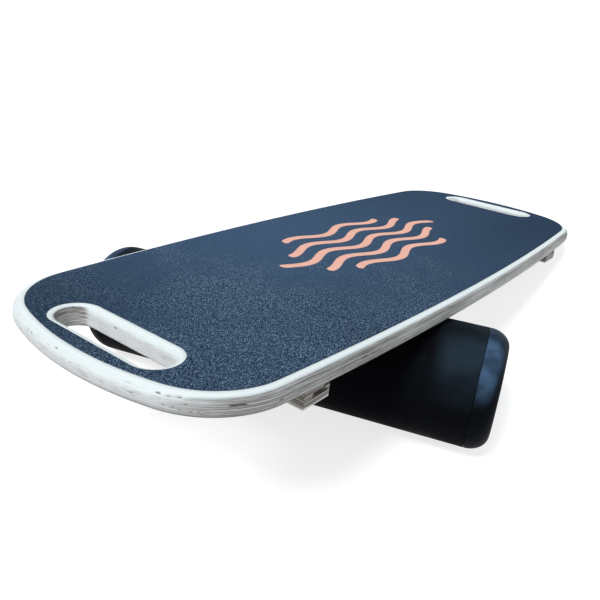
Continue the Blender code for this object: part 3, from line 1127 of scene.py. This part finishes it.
@dataclass(frozen=True)
class GritFinish:
    """Fine grit on a blue sheet with a print, painted glints and shade in the grit, painted shade at its ends."""

    SPECULAR: ClassVar[float] = 0.01
    COARSE_PER_METRE: ClassVar[float] = 2100.0
    FINE_PER_METRE: ClassVar[float] = 3600.0
    COARSE_WEIGHT: ClassVar[float] = 0.6
    FINE_WEIGHT: ClassVar[float] = 0.4
    # Patches where the painted glints and the painted shade between grains are stronger or weaker.
    GLINT_AND_SHADE_PATCHES: ClassVar[Clouds] = Clouds((11.0, 11.0, 11.0), 3.0, 0.4)
    GLINT_AND_SHADE_SPREAD: ClassVar[Ramp] = Ramp(0.0, 1.0, 0.20, 0.80)
    # Painted glints and shade are stronger on the near side and near end, and weaker over the far half.
    LIVELIER_NEAR_SIDE: ClassVar[Ramp] = Ramp(-0.10, 0.07, 0.20, -0.17)
    LIVELIER_NEAR_END: ClassVar[Ramp] = Ramp(-0.26, -0.06, 0.18, -0.12)
    CALMER_FAR_HALF: ClassVar[Ramp] = Ramp(-0.08, 0.10, 0.0, -0.32)
    # Painted shade in the hollows between grains, and painted glints on the grains.
    HOLLOWS: ClassVar[Ramp] = Ramp(0.25, 0.62, 1.0, 0.0)
    HOLLOW_STRENGTH: ClassVar[Ramp] = Ramp(0.30, 0.70, 0.35, 1.0)
    GLINTS: ClassVar[Ramp] = Ramp(0.78, 0.97)
    GLINT_STRENGTH: ClassVar[Ramp] = Ramp(0.32, 0.70, 0.12, 1.0)
    # Painted shade: the sheet is darker towards its ends, its near side and its left corner.
    NEAR_END_TONE: ClassVar[Ramp] = Ramp(-0.40, -0.08, 0.60, 1.0)
    FAR_END_TONE: ClassVar[Ramp] = Ramp(-0.05, 0.32, 1.0, 0.70)
    NEAR_SIDE_TONE: ClassVar[Ramp] = Ramp(-0.11, 0.03, -0.24, 0.0)
    PAST_NEAR_END: ClassVar[Ramp] = Ramp(-0.28, -0.18)
    CORNER_TONE: ClassVar[Ramp] = Ramp(-0.06, 0.08, 0.08, -0.16)
    AT_NEAR_END: ClassVar[Ramp] = Ramp(-0.35, -0.22, 1.0, 0.0)
    INK_PATCHES: ClassVar[Clouds] = Clouds((60.0, 60.0, 60.0))
    INK_PATCH_WEIGHT: ClassVar[float] = 0.5
    INK_GRIT_WEIGHT: ClassVar[float] = 0.5
    INK_TONE: ClassVar[Ramp] = Ramp(0.15, 0.85, 0.28, 0.0)
    ROUGHNESS: ClassVar[Ramp] = Ramp(0.0, 1.0, 0.98, 0.80)
    FINE_RELIEF: ClassVar[float] = 0.00006
    COARSE_RELIEF: ClassVar[float] = 0.00014

    name: str
    placement: Placement
    print_shape: WavePrint
    sheet: Colour = (0.055, 0.102, 0.180)
    # Painted shade between the grains, and painted glints on them.
    shadow: Colour = (0.006, 0.014, 0.030)
    glint: Colour = (0.360, 0.520, 0.690)
    print_colour: Colour = (0.930, 0.530, 0.420)
    print_shadow: Colour = (0.560, 0.245, 0.190)

    def material(self) -> bpy.types.Material:
        """Builds the finish.

        Returns:
            The material.
        """
        nodes = FinishNodes(self.name, Specular_IOR_Level=self.SPECULAR)
        place = nodes.place_in(self.placement)
        x, y, _ = place.parts()
        coarse_colour, coarse_height = nodes.grains(place, self.COARSE_PER_METRE)
        fine_colour, fine_height = nodes.grains(place, self.FINE_PER_METRE)
        coarse_tone, coarse_pick, _ = coarse_colour.parts()
        fine_tone, _, _ = fine_colour.parts()

        # How strong the painted glints and the painted shade between grains are, by patch and by place.
        lively = self.GLINT_AND_SHADE_SPREAD.of(self.GLINT_AND_SHADE_PATCHES.over(place)) + self.LIVELIER_NEAR_SIDE.of(y)
        lively = lively + self.LIVELIER_NEAR_END.of(x) + self.CALMER_FAR_HALF.of(x)
        hollows = self.HOLLOWS.of(coarse_tone * self.COARSE_WEIGHT + fine_tone * self.FINE_WEIGHT)
        sheet = nodes.mixed(hollows * self.HOLLOW_STRENGTH.of(lively), self.sheet, self.shadow)
        sheet = nodes.mixed(self.GLINTS.of(coarse_pick) * self.GLINT_STRENGTH.of(lively), sheet, self.glint)
        # Painted shade over the sheet, by place.
        sheet = sheet.toned(self.tone(x, y))

        patches = self.INK_PATCHES.over(place)
        speckle = fine_tone * self.INK_GRIT_WEIGHT + patches * self.INK_PATCH_WEIGHT
        ink = nodes.mixed(self.INK_TONE.of(speckle), self.print_colour, self.print_shadow)
        nodes.dress(
            Base_Color=nodes.mixed(self.print_shape.mask(x, y), sheet, ink),
            Roughness=self.ROUGHNESS.of(coarse_pick),
        )
        nodes.raise_surface((fine_height, self.FINE_RELIEF), (coarse_height, self.COARSE_RELIEF))
        return nodes.material

    def tone(self, x: Value, y: Value) -> Value:
        """How light the sheet is, as painted shade: darker towards its ends, its near side and its left corner.

        Args:
            x: The place along the board.
            y: The place across it.

        Returns:
            The factor of its colour.
        """
        by_ends = self.NEAR_END_TONE.of(x) * self.FAR_END_TONE.of(x)
        by_side = self.NEAR_SIDE_TONE.of(y) * self.PAST_NEAR_END.of(x)
        by_corner = self.CORNER_TONE.of(y) * self.AT_NEAR_END.of(x)
        return by_ends * (by_side + by_corner + 1.0)


@dataclass(frozen=True)
class BlackFinish:
    """Black rubber or moulded plastic, matt to satin, with a painted blue sheen in blotches on top near the ends.
    """

    TINT: ClassVar[Colour] = (0.30, 0.62, 1.0)
    CLOUDS: ClassVar[Clouds] = Clouds((32.0, 32.0, 32.0), 3.0, 0.3)
    RUBS: ClassVar[Clouds] = Clouds((160.0, 160.0, 22.0), 4.0, 0.5)
    SKIN: ClassVar[Clouds] = Clouds((1300.0, 1300.0, 1300.0))
    SCUFFS: ClassVar[Ramp] = Ramp(0.56, 0.74)
    SCUFF_PATCHES: ClassVar[Ramp] = Ramp(0.45, 0.65)
    # Painted sheen: on top, off the flat ends, in blotches.
    SHEEN_OFF_ENDS: ClassVar[Ramp] = Ramp(0.35, 0.90, 1.0, 0.15)
    SHEEN_FAR_SIDE: ClassVar[Ramp] = Ramp(-0.20, 0.15, 1.0, 0.50)
    SHEEN_NEAR_SIDE: ClassVar[Ramp] = Ramp(-0.85, -0.45, 0.50, 1.0)
    SHEEN_PATCHES: ClassVar[Ramp] = Ramp(0.36, 0.62, 0.45, 1.0)
    ROUGH_FROM: ClassVar[float] = 0.35
    ROUGH_TO: ClassVar[float] = 0.68
    RUB_RELIEF: ClassVar[float] = 0.00003

    name: str
    placement: Placement
    colour: Colour
    scuffed: Colour
    # The painted blue sheen, and where it shows.
    painted_sheen: Colour
    sheen_along: Ramp
    sheen_up: Ramp
    sheen_blotches_per_metre: float
    smoothest: float
    roughest: float
    gloss: float
    pebble: float

    def material(self) -> bpy.types.Material:
        """Builds the finish.

        Returns:
            The material.
        """
        nodes = FinishNodes(self.name, Specular_IOR_Level=self.gloss, Specular_Tint=self.TINT)
        place = nodes.place_in(self.placement)
        clouds = self.CLOUDS.over(place)
        rubs = self.RUBS.over(place)
        scuffs = self.SCUFFS.of(rubs) * self.SCUFF_PATCHES.of(clouds)
        worn = nodes.mixed(scuffs, self.colour, self.scuffed)
        nodes.dress(
            # Painted sheen over the worn black.
            Base_Color=nodes.mixed(self.sheen_share(nodes, place), worn, self.painted_sheen),
            Roughness=Ramp(self.ROUGH_FROM, self.ROUGH_TO, self.smoothest, self.roughest).of(clouds),
        )
        nodes.raise_surface((self.SKIN.over(place), self.pebble), (rubs, self.RUB_RELIEF))
        return nodes.material

    def sheen_share(self, nodes: FinishNodes, place: Value) -> Value:
        """How much painted sheen shows.

        Args:
            nodes: The finish's nodes.
            place: The point in the roller's frame.

        Returns:
            The painted sheen's share.
        """
        _, _, along = place.parts()
        facing_level, facing_up, facing_along = nodes.normal_in(self.placement).parts()
        sheen_blotches = Clouds((self.sheen_blotches_per_metre,) * 3, 1.0).over(place)
        sheen_share = self.sheen_along.of(abs(along)) * self.sheen_up.of(facing_up)
        sheen_share *= self.SHEEN_OFF_ENDS.of(abs(facing_along))
        sheen_share *= self.SHEEN_FAR_SIDE.of(facing_level)
        sheen_share *= self.SHEEN_NEAR_SIDE.of(facing_level)
        return sheen_share * self.SHEEN_PATCHES.of(sheen_blotches)


@dataclass(frozen=True)
class ZincFinish:
    """Zinc plate on steel, with a faint yellow passivation and turning marks."""

    BLOOM: ClassVar[Clouds] = Clouds((700.0, 700.0, 700.0), 3.0, 0.5)
    MARKS: ClassVar[Clouds] = Clouds((4200.0, 4200.0, 4200.0), 1.0)
    DULL_PATCHES: ClassVar[Ramp] = Ramp(0.35, 0.70)
    ROUGHNESS: ClassVar[Ramp] = Ramp(0.30, 0.75, 0.24, 0.48)
    MARK_RELIEF: ClassVar[float] = 0.00002

    name: str
    bright: Colour = (0.66, 0.65, 0.61)
    dull: Colour = (0.42, 0.41, 0.37)

    def material(self) -> bpy.types.Material:
        """Builds the finish.

        Returns:
            The material.
        """
        nodes = FinishNodes(self.name, Metallic=1.0)
        place = nodes.value("ShaderNodeTexCoord", {}, "Object")
        bloom = self.BLOOM.over(place)
        nodes.dress(
            Base_Color=nodes.mixed(self.DULL_PATCHES.of(bloom), self.bright, self.dull),
            Roughness=self.ROUGHNESS.of(bloom),
        )
        nodes.raise_surface((self.MARKS.over(place), self.MARK_RELIEF))
        return nodes.material


@dataclass(frozen=True)
class PipeFinish:
    """Extruded grey pipe, with faint draw lines along it."""

    DRAW_LINES: ClassVar[Clouds] = Clouds((420.0, 420.0, 3.0), 3.0)
    DARK_LINES: ClassVar[Ramp] = Ramp(0.35, 0.68)
    ROUGHNESS: ClassVar[Ramp] = Ramp(0.35, 0.68, 0.38, 0.55)
    LINE_RELIEF: ClassVar[float] = 0.00003

    name: str
    placement: Placement
    light: Colour = (0.23, 0.24, 0.25)
    dark: Colour = (0.17, 0.18, 0.19)

    def material(self) -> bpy.types.Material:
        """Builds the finish.

        Returns:
            The material.
        """
        nodes = FinishNodes(self.name)
        lines = self.DRAW_LINES.over(nodes.place_in(self.placement))
        nodes.dress(
            Base_Color=nodes.mixed(self.DARK_LINES.of(lines), self.light, self.dark),
            Roughness=self.ROUGHNESS.of(lines),
        )
        nodes.raise_surface((lines, self.LINE_RELIEF))
        return nodes.material


@dataclass
class Deck:
    """The plywood deck with its bowed outline, rounded edge and two hand slots.

    The voids near its near left corner are placed one by one, as ply, start round the rim, length and depth.
    """

    placement: Placement
    body: str = "board"
    corner_radius: float = 0.075
    side_bow: float = 0.0103
    end_bow: float = 0.0079
    edge_rounding: float = 0.0074
    slot_length: float = 0.116
    slot_width: float = 0.0271
    slot_from_end: float = 0.0407
    slot_top_rounding: float = 0.0058
    slot_bottom_rounding: float = 0.003
    slot_end_steps: int = 23
    plies: int = 11
    seed: int = 18
    rim_voids: int = 22
    voids_each_slot: int = 3
    scatter: VoidScatter = VoidScatter(2, 7, lengths=(0.004, 0.013), depths=(0.00015, 0.0004))
    near_corner_voids: tuple[Void, ...] = (
        Void(9, 1.0862, 0.0070, 0.00022),
        Void(9, 1.0948, 0.0052, 0.00018),
        Void(9, 1.1025, 0.0040, 0.00020),
        Void(5, 1.0938, 0.0030, 0.00022),
        Void(5, 1.0992, 0.0026, 0.00024),
        Void(5, 1.1030, 0.0022, 0.00020),
        Void(4, 1.1042, 0.0026, 0.00022),
        Void(7, 1.1075, 0.0032, 0.00020),
        Void(4, 1.1105, 0.0034, 0.00022),
        Void(4, 1.1152, 0.0028, 0.00020),
        Void(3, 1.1182, 0.0026, 0.00022),
        Void(4, 1.1214, 0.0034, 0.00020),
        Void(7, 1.1328, 0.0165, 0.00038),
        Void(7, 1.0238, 0.0028, 0.00026),
        Void(9, 0.9974, 0.0022, 0.00022),
        Void(8, 0.9645, 0.0022, 0.00022),
    )
    extent: Extent = field(init=False)

    def __post_init__(self) -> None:
        """Measures the CAD deck."""
        self.extent = Extent.of("deck", self.placement)

    def outline(self) -> list[OutlinePoint]:
        """The deck's outline: bowed sides and ends that meet in round corners.

        Returns:
            The outline's points.
        """
        radius = self.corner_radius
        corner_x = self.extent.size.x / 2 - self.end_bow - radius
        corner_y = self.extent.size.y / 2 - self.side_bow - radius
        side_radius = (corner_x**2 + self.side_bow**2) / (2 * self.side_bow)
        end_radius = (corner_y**2 + self.end_bow**2) / (2 * self.end_bow)
        side_turn = math.asin(corner_x / side_radius)
        end_turn = math.asin(corner_y / end_radius)
        end_centre = (corner_x + self.end_bow - end_radius, 0.0)
        side_centre = (0.0, corner_y + self.side_bow - side_radius)
        side_start = QUARTER_TURN - side_turn
        side_end = QUARTER_TURN + side_turn
        corner_steps = steps_along(radius * QUARTER_TURN)
        half = Outline(wood_inside=True)
        half.add_arc(end_centre, end_radius + radius, -end_turn, end_turn, steps_along(2 * corner_y))
        half.add_arc((corner_x, corner_y), radius, end_turn, side_start, corner_steps)
        half.add_arc(side_centre, side_radius + radius, side_start, side_end, steps_along(2 * corner_x))
        half.add_arc((-corner_x, corner_y), radius, side_end, math.pi - end_turn, corner_steps)
        return half.closed()

    def slot_outline(self) -> list[OutlinePoint]:
        """A hand slot's outline about its own centre: a long hole across the board with round ends.

        Returns:
            The outline's points.
        """
        radius = self.slot_width / 2
        end_y = (self.slot_length - self.slot_width) / 2
        half = Outline(wood_inside=False)
        half.add_arc((0.0, end_y), radius, 0.0, math.pi, self.slot_end_steps)
        half.add_run((-radius, end_y), (-radius, -end_y), (-1.0, 0.0))
        return half.closed()

    def slot_centre(self, end: BoardEnd) -> tuple[float, float]:
        """Where a hand slot's centre lies in plan."""
        return (end.value * (self.extent.size.x / 2 - self.slot_from_end), 0.0)

    def build(self) -> None:
        """Builds and dresses the deck."""
        draw = random.Random(self.seed)
        bottom = self.extent.low.z
        top = self.extent.high.z
        rim = PlywoodEdge(bottom, top, self.edge_rounding, self.edge_rounding, self.plies)
        slot_rim = PlywoodEdge(bottom, top, self.slot_bottom_rounding, self.slot_top_rounding, self.plies)
        outline = self.outline()
        slot_outline = self.slot_outline()
        voids = [*self.scatter.drawn(draw, outline, self.rim_voids), *self.near_corner_voids]
        shape = PieceMesh("plywood_deck", self.placement)
        walls = [shape.plywood_wall(rim, outline, (0.0, 0.0), voids)]
        for end in BoardEnd:
            voids = self.scatter.drawn(draw, slot_outline, self.voids_each_slot)
            walls.append(shape.plywood_wall(slot_rim, slot_outline, self.slot_centre(end), voids))
        shape.fill(*[lower for lower, _ in walls])
        shape.fill(*[upper for _, upper in walls])
        finish = WashedPlywood(
            name="whitewashed_plywood", placement=self.placement, bottom=bottom, ply=rim.ply
        )
        shape.finished(self.body, finish.material(), "deck")


@dataclass
class GripSheet:
    """The grit sheet glued on the deck, cut out round the hand slots."""

    deck: Deck
    body: str = "board"
    margin: float = 0.0014
    edge_break: float = 0.00016
    holding_margin: float = 0.00096

    def build(self) -> None:
        """Builds and dresses the grip sheet."""
        deck = self.deck
        extent = Extent.of("grip_sheet", deck.placement)
        shape = PieceMesh("grit_sheet", deck.placement)
        paths = [(deck.outline(), (0.0, 0.0), deck.edge_rounding)]
        paths += [(deck.slot_outline(), deck.slot_centre(end), deck.slot_top_rounding) for end in BoardEnd]
        inner_break = SOFT_EDGE_MIDDLE * self.edge_break
        levels = [
            (0.0, extent.low.z),
            (0.0, extent.high.z - self.edge_break),
            (inner_break, extent.high.z - inner_break),
            (self.edge_break, extent.high.z),
            (self.holding_margin, extent.high.z),
        ]
        walls = []
        for path, centre, rounding in paths:
            edge = rounding + self.margin
            rings = [shape.flat_ring(path, centre, edge + setback, height) for setback, height in levels]
            shape.bridge(*rings)
            walls.append(rings)
        shape.fill(*[rings[0] for rings in walls])
        shape.fill(*[rings[-1] for rings in walls])
        finish = GritFinish("blue_grit", deck.placement, WavePrint())
        shape.finished(self.body, finish.material(), "grip_sheet")


@dataclass
class Stopper:
    """A plywood strip screwed under one end of the deck."""

    placement: Placement
    end: BoardEnd
    body: str = "board"
    chamfer: float = 0.001
    corner_radius: float = 0.0011
    corner_steps: int = 5
    top_edge_rounding: float = 0.0003
    plies: int = 7
    groove_depth: float = 0.00012
    longest_step: float = 0.0008
    screws: int = 4
    screw_spacing: float = 0.070
    head_radius: float = 0.0043
    head_recess: float = 0.0009
    head_depth: float = 0.0028
    shank_radius: float = 0.0023
    hole_depth: float = 0.0120
    hole_steps: int = 40
    seed: int = 50
    voids: int = 26
    scatter: VoidScatter = VoidScatter(1, 5, lengths=(0.006, 0.026), depths=(0.0006, 0.0016))

    def outline(self, size: Vector) -> list[OutlinePoint]:
        """The stopper's outline about its own centre, with slightly rounded corners.

        Args:
            size: The stopper's sides.

        Returns:
            The outline's points.
        """
        radius = self.corner_radius
        side_x = size.x / 2
        side_y = size.y / 2
        corner_x = side_x - radius
        corner_y = side_y - radius
        half = Outline(wood_inside=True)
        half.add_run((side_x, -corner_y), (side_x, corner_y), (1.0, 0.0))
        half.add_arc((corner_x, corner_y), radius, 0.0, QUARTER_TURN, self.corner_steps)
        half.add_run((corner_x, side_y), (-corner_x, side_y), (0.0, 1.0))
        half.add_arc((-corner_x, corner_y), radius, QUARTER_TURN, math.pi, self.corner_steps)
        return half.closed()

    def screw_hole(self, shape: PieceMesh, centre: Sequence[float], bottom: float) -> Ring:
        """Adds the hole that a countersunk screw sits in.

        Args:
            shape: The stopper's mesh.
            centre: Where the screw is in plan.
            bottom: The height of the stopper's underside.

        Returns:
            The hole's loop in the underside.
        """
        levels = [
            (self.head_radius, 0.0),
            (self.head_radius, self.head_recess),
            (self.shank_radius, self.head_depth),
            (self.shank_radius, self.hole_depth),
        ]
        angles = [FULL_TURN * step / self.hole_steps for step in range(self.hole_steps)]
        rings = []
        for radius, depth in levels:
            places = [(centre[0] + radius * math.cos(a), centre[1] + radius * math.sin(a)) for a in angles]
            rings.append(shape.ring([(*place, bottom + depth) for place in places]))
        shape.bridge(*rings)
        shape.fill(rings[-1])
        return rings[0]

    def build(self) -> None:
        """Builds and dresses the stopper."""
        side = self.end.name.lower()
        node = f"stopper_{side}"
        extent = Extent.of(node, self.placement)
        bottom = extent.low.z
        edge = PlywoodEdge(
            bottom, extent.high.z, self.chamfer, self.top_edge_rounding, self.plies,
            groove_depth=self.groove_depth, longest_step=self.longest_step,
        )
        outline = self.outline(extent.size)
        voids = self.scatter.drawn(random.Random(self.seed + self.end.value), outline, self.voids)
        shape = PieceMesh(f"plywood_{node}", self.placement)
        lower, upper = shape.plywood_wall(edge, outline, extent.middle.xy, voids)
        first = -self.screw_spacing * (self.screws - 1) / 2
        places = [first + self.screw_spacing * number for number in range(self.screws)]
        holes = [self.screw_hole(shape, (extent.middle.x, place), bottom) for place in places]
        shape.fill(lower, *holes)
        shape.fill(upper)
        finish = FootLitPlywood(
            name=f"bare_plywood_{side}", placement=self.placement, bottom=bottom, ply=edge.ply,
            seed_shift=float(self.end.value),
        )
        shape.finished(self.body, finish.material(), node)


@dataclass
class Roller:
    """The roller: a black sleeve round the tube and a round-nosed cap in each end."""

    placement: Placement
    body: str = "roller"
    cap_depth: float = 0.0195
    nose_across: float = 0.0155
    nose_along: float = 0.019
    nose_steps: int = 24
    edge_break: float = 0.0005
    break_steps: int = 4
    sleeve_overrun: float = 0.0002
    sleeve_clearance: float = 0.0003
    spigot_radius: float = 0.0515
    spigot_length: float = 0.020
    cap_wall: float = 0.003
    hollow_shoulder: float = 0.009
    turn_steps: int = 160

    def sleeve_profile(self) -> list[tuple[float, float]]:
        """The sleeve's profile.

        Returns:
            Pairs of radius and height.
        """
        sleeve = Extent.of("roller_sleeve", self.placement).size
        outer = sleeve.x / 2
        inner = Extent.of("roller_tube", self.placement).size.x / 2 + self.sleeve_clearance
        half = sleeve.z / 2 + self.sleeve_overrun
        upper = []
        for step in range(self.break_steps + 1):
            turn = QUARTER_TURN * step / self.break_steps
            radius = outer - self.edge_break * (1 - math.cos(turn))
            upper.append((radius, half - self.edge_break * (1 - math.sin(turn))))
        lower = [(radius, -height) for radius, height in reversed(upper)]
        return [*lower, *upper, (inner, half), (inner, -half)]

    def cap_profile(self, radius: float) -> list[tuple[float, float]]:
        """A cap's profile with its seat on the tube at height 0.

        Args:
            radius: The roller's radius.

        Returns:
            Pairs of radius and height, from the nose's middle round to the hollow's.
        """
        depth = self.cap_depth
        nose_radius = radius - self.nose_across
        nose = []
        for step in range(self.nose_steps + 1):
            turn = QUARTER_TURN * step / self.nose_steps
            out = nose_radius + self.nose_across * math.sin(turn)
            nose.append((out, depth - self.nose_along * (1 - math.cos(turn))))
        inner_break = SOFT_EDGE_MIDDLE * self.edge_break
        hollow_radius = self.spigot_radius - self.cap_wall
        seat = [
            (radius, self.edge_break),
            (radius - inner_break, inner_break),
            (radius - self.edge_break, 0.0),
            (self.spigot_radius, 0.0),
            (self.spigot_radius, -self.spigot_length),
            (hollow_radius, -self.spigot_length),
            (hollow_radius, depth - self.hollow_shoulder),
            (nose_radius, depth - self.cap_wall),
            (0.0, depth - self.cap_wall),
        ]
        return [(0.0, depth), (nose_radius / 2, depth), *nose, *seat]

    def build_sleeve(self) -> None:
        """Builds and dresses the sleeve."""
        shape = PieceMesh("rubber_sleeve", self.placement)
        shape.turned(self.sleeve_profile(), self.turn_steps, closed=True)
        finish = BlackFinish(
            name="sleeve_rubber_black",
            placement=self.placement,
            colour=(0.0030, 0.0030, 0.0038),
            scuffed=(0.0060, 0.0080, 0.0100),
            # Painted blue sheen near the sleeve's end by the cap.
            painted_sheen=(0.0150, 0.0255, 0.0370),
            sheen_along=Ramp(0.142, 0.162),
            sheen_up=Ramp(0.20, 0.56),
            sheen_blotches_per_metre=24.0,
            smoothest=0.60,
            roughest=0.72,
            gloss=0.02,
            pebble=0.00003,
        )
        shape.finished(self.body, finish.material(), "roller_sleeve")

    def build_cap(self, end: RollerEnd) -> None:
        """Builds and dresses a cap.

        Args:
            end: The end of the roller that it closes.
        """
        side = end.name.lower()
        node = f"roller_cap_{side}"
        extent = Extent.of(node, self.placement)
        is_right = end is RollerEnd.RIGHT
        seat = (extent.high.z if is_right else extent.low.z) - end.value * self.cap_depth
        turn = Matrix.Rotation(0.0 if is_right else math.pi, 4, "X")
        own = Placement(self.placement.matrix @ Matrix.Translation((0.0, 0.0, seat)) @ turn)
        shape = PieceMesh(f"moulded_{node}", own)
        shape.turned(self.cap_profile(extent.size.x / 2), self.turn_steps, closed=False)
        finish = BlackFinish(
            name=f"cap_plastic_black_{side}",
            placement=self.placement,
            colour=(0.0030, 0.0034, 0.0044),
            scuffed=(0.0080, 0.0130, 0.0190),
            # Painted blue sheen on the cap's nose.
            painted_sheen=(0.0560, 0.1050, 0.1850),
            sheen_along=Ramp(0.18, 0.19),
            sheen_up=Ramp(0.32, 0.64),
            sheen_blotches_per_metre=58.0,
            smoothest=0.46,
            roughest=0.60,
            gloss=0.022,
            pebble=0.000025,
        )
        shape.finished(self.body, finish.material(), node)

    def build(self) -> None:
        """Builds the sleeve and both caps, and dresses the tube that they hide."""
        self.build_sleeve()
        for end in RollerEnd:
            self.build_cap(end)
        dress_node("roller_tube", PipeFinish("pipe_grey_plastic", self.placement).material())


@dataclass
class ScrewSet:
    """The countersunk screws under the stoppers."""

    screws_each: int = 4

    def dress(self) -> None:
        """Gives every screw its zinc finish."""
        material = ZincFinish("screw_zinc").material()
        for end in BoardEnd:
            for number in range(1, self.screws_each + 1):
                dress_node(f"stopper_screw_{end.name.lower()}_{number}", material)


def dress_node(node: str, material: bpy.types.Material) -> None:
    """Gives a CAD node that stays in the scene its material.

    Args:
        node: The node's name.
        material: The material.
    """
    piece = frame["nodes"][node]
    piece.data.materials.clear()
    piece.data.materials.append(material)
    LOG.info("%s: carried over, in %s", node, material.name)


@dataclass(frozen=True)
class Sun:
    """A soft far light."""

    name: str
    comes_from: tuple[float, float, float]
    colour: Colour
    strength: float
    angle: float
    distance: float = 3.0

    def hang(self) -> None:
        """Puts the light into the scene."""
        data = bpy.data.lights.new(self.name, "SUN")
        data.color = self.colour
        data.energy = self.strength
        data.angle = self.angle
        light = bpy.data.objects.new(self.name, data)
        light.rotation_mode = "QUATERNION"
        light.rotation_quaternion = Vector(self.comes_from).to_track_quat("Z", "Y")
        light.location = Vector(self.comes_from) * self.distance
        bpy.context.scene.collection.objects.link(light)


@dataclass
class Studio:
    """The pale floor, the soft light and the camera."""

    camera_place: tuple[float, float, float] = (-0.52375, -0.32459, 0.45668)
    camera_forward: tuple[float, float, float] = (0.64234, 0.51088, -0.57142)
    camera_right: tuple[float, float, float] = (0.63108, -0.77554, 0.01613)
    lens: float = 38.75
    sensor: float = 36.0
    floor_half_side: float = 9.0
    floor_gap: float = 0.0002
    floor_colour: Colour = (0.42, 0.42, 0.42)
    floor_glow: float = 0.76
    shown: Colour = (1.0, 1.0, 1.0)
    sky_colour: Colour = (0.90, 0.96, 1.0)
    sky_strength: float = 0.32
    key: Sun = Sun("key", (-0.50, 0.03, 0.87), (1.0, 1.0, 1.0), 2.8, math.radians(16))
    fill: Sun = Sun("fill", (0.42, -0.88, 0.16), (0.80, 0.90, 1.0), 0.8, math.radians(50))

    def build_camera(self) -> None:
        """Puts the camera at the photograph's viewpoint."""
        data = bpy.data.cameras.new("viewpoint")
        data.sensor_width = self.sensor
        data.lens = self.lens
        camera = bpy.data.objects.new("viewpoint", data)
        right = Vector(self.camera_right).normalized()
        back = -Vector(self.camera_forward).normalized()
        camera.matrix_world = matrix_of(right, back.cross(right), back, Vector(self.camera_place))
        bpy.context.scene.collection.objects.link(camera)
        bpy.context.scene.camera = camera

    def shown_white(self, graph: NodeGraph) -> Value:
        """Tells the rays that show the background from those that light the board.

        Args:
            graph: The node graph that asks.

        Returns:
            1 for camera, glossy and transmission rays, and 0 for the rest.
        """
        rays = graph.add("ShaderNodeLightPath", {}).outputs
        shown = Value(graph, rays["Is Camera Ray"]).maths("MAXIMUM", Value(graph, rays["Is Glossy Ray"]))
        return shown.maths("MAXIMUM", Value(graph, rays["Is Transmission Ray"]))

    def build_floor(self) -> None:
        """Lays a pale matt floor, which shows white and keeps the shadow."""
        nodes = FinishNodes("studio_floor", Roughness=1.0, Specular_IOR_Level=0.0)
        glow = self.shown_white(nodes) * self.floor_glow
        nodes.dress(Base_Color=self.floor_colour, Emission_Color=self.shown, Emission_Strength=glow)
        shape = bmesh.new()
        bmesh.ops.create_grid(shape, x_segments=2, y_segments=2, size=self.floor_half_side)
        mesh = bpy.data.meshes.new("floor")
        shape.to_mesh(mesh)
        shape.free()
        mesh.materials.append(nodes.material)
        floor = bpy.data.objects.new("floor", mesh)
        floor.location = (0.0, 0.0, -self.floor_gap)
        bpy.context.scene.collection.objects.link(floor)

    def build_sky(self) -> None:
        """Makes the world: white where it shows, and a soft cool light elsewhere."""
        world = bpy.data.worlds.new("studio")
        bpy.context.scene.world = world
        world.use_nodes = True
        graph = NodeGraph(world.node_tree)
        background = graph.tree.nodes["Background"]
        graph.feed(background.inputs["Color"], self.sky_colour)
        graph.feed(background.inputs["Strength"], self.sky_strength)
        light = Value(graph, background.outputs[0])
        white = graph.value("ShaderNodeBackground", {"Color": self.shown, "Strength": 1.0})
        choice = graph.value("ShaderNodeMixShader", {0: self.shown_white(graph), 1: light, 2: white})
        graph.feed(graph.tree.nodes["World Output"].inputs["Surface"], choice)

    def build(self) -> None:
        """Builds the studio, and shows colours as they are written."""
        bpy.context.scene.view_settings.view_transform = "Standard"
        self.build_camera()
        self.build_floor()
        self.build_sky()
        self.key.hang()
        self.fill.hang()


def main() -> None:
    """Builds the studio and dresses the board and its roller."""
    logging.basicConfig(level=logging.INFO, format="%(name)s: %(message)s")
    board = Placement.of_board()
    roller = Placement.of_roller()
    Studio().build()
    deck = Deck(board)
    deck.build()
    GripSheet(deck).build()
    for end in BoardEnd:
        Stopper(board, end).build()
    ScrewSet().dress()
    Roller(roller).build()


if __name__ == "__main__":
    main()
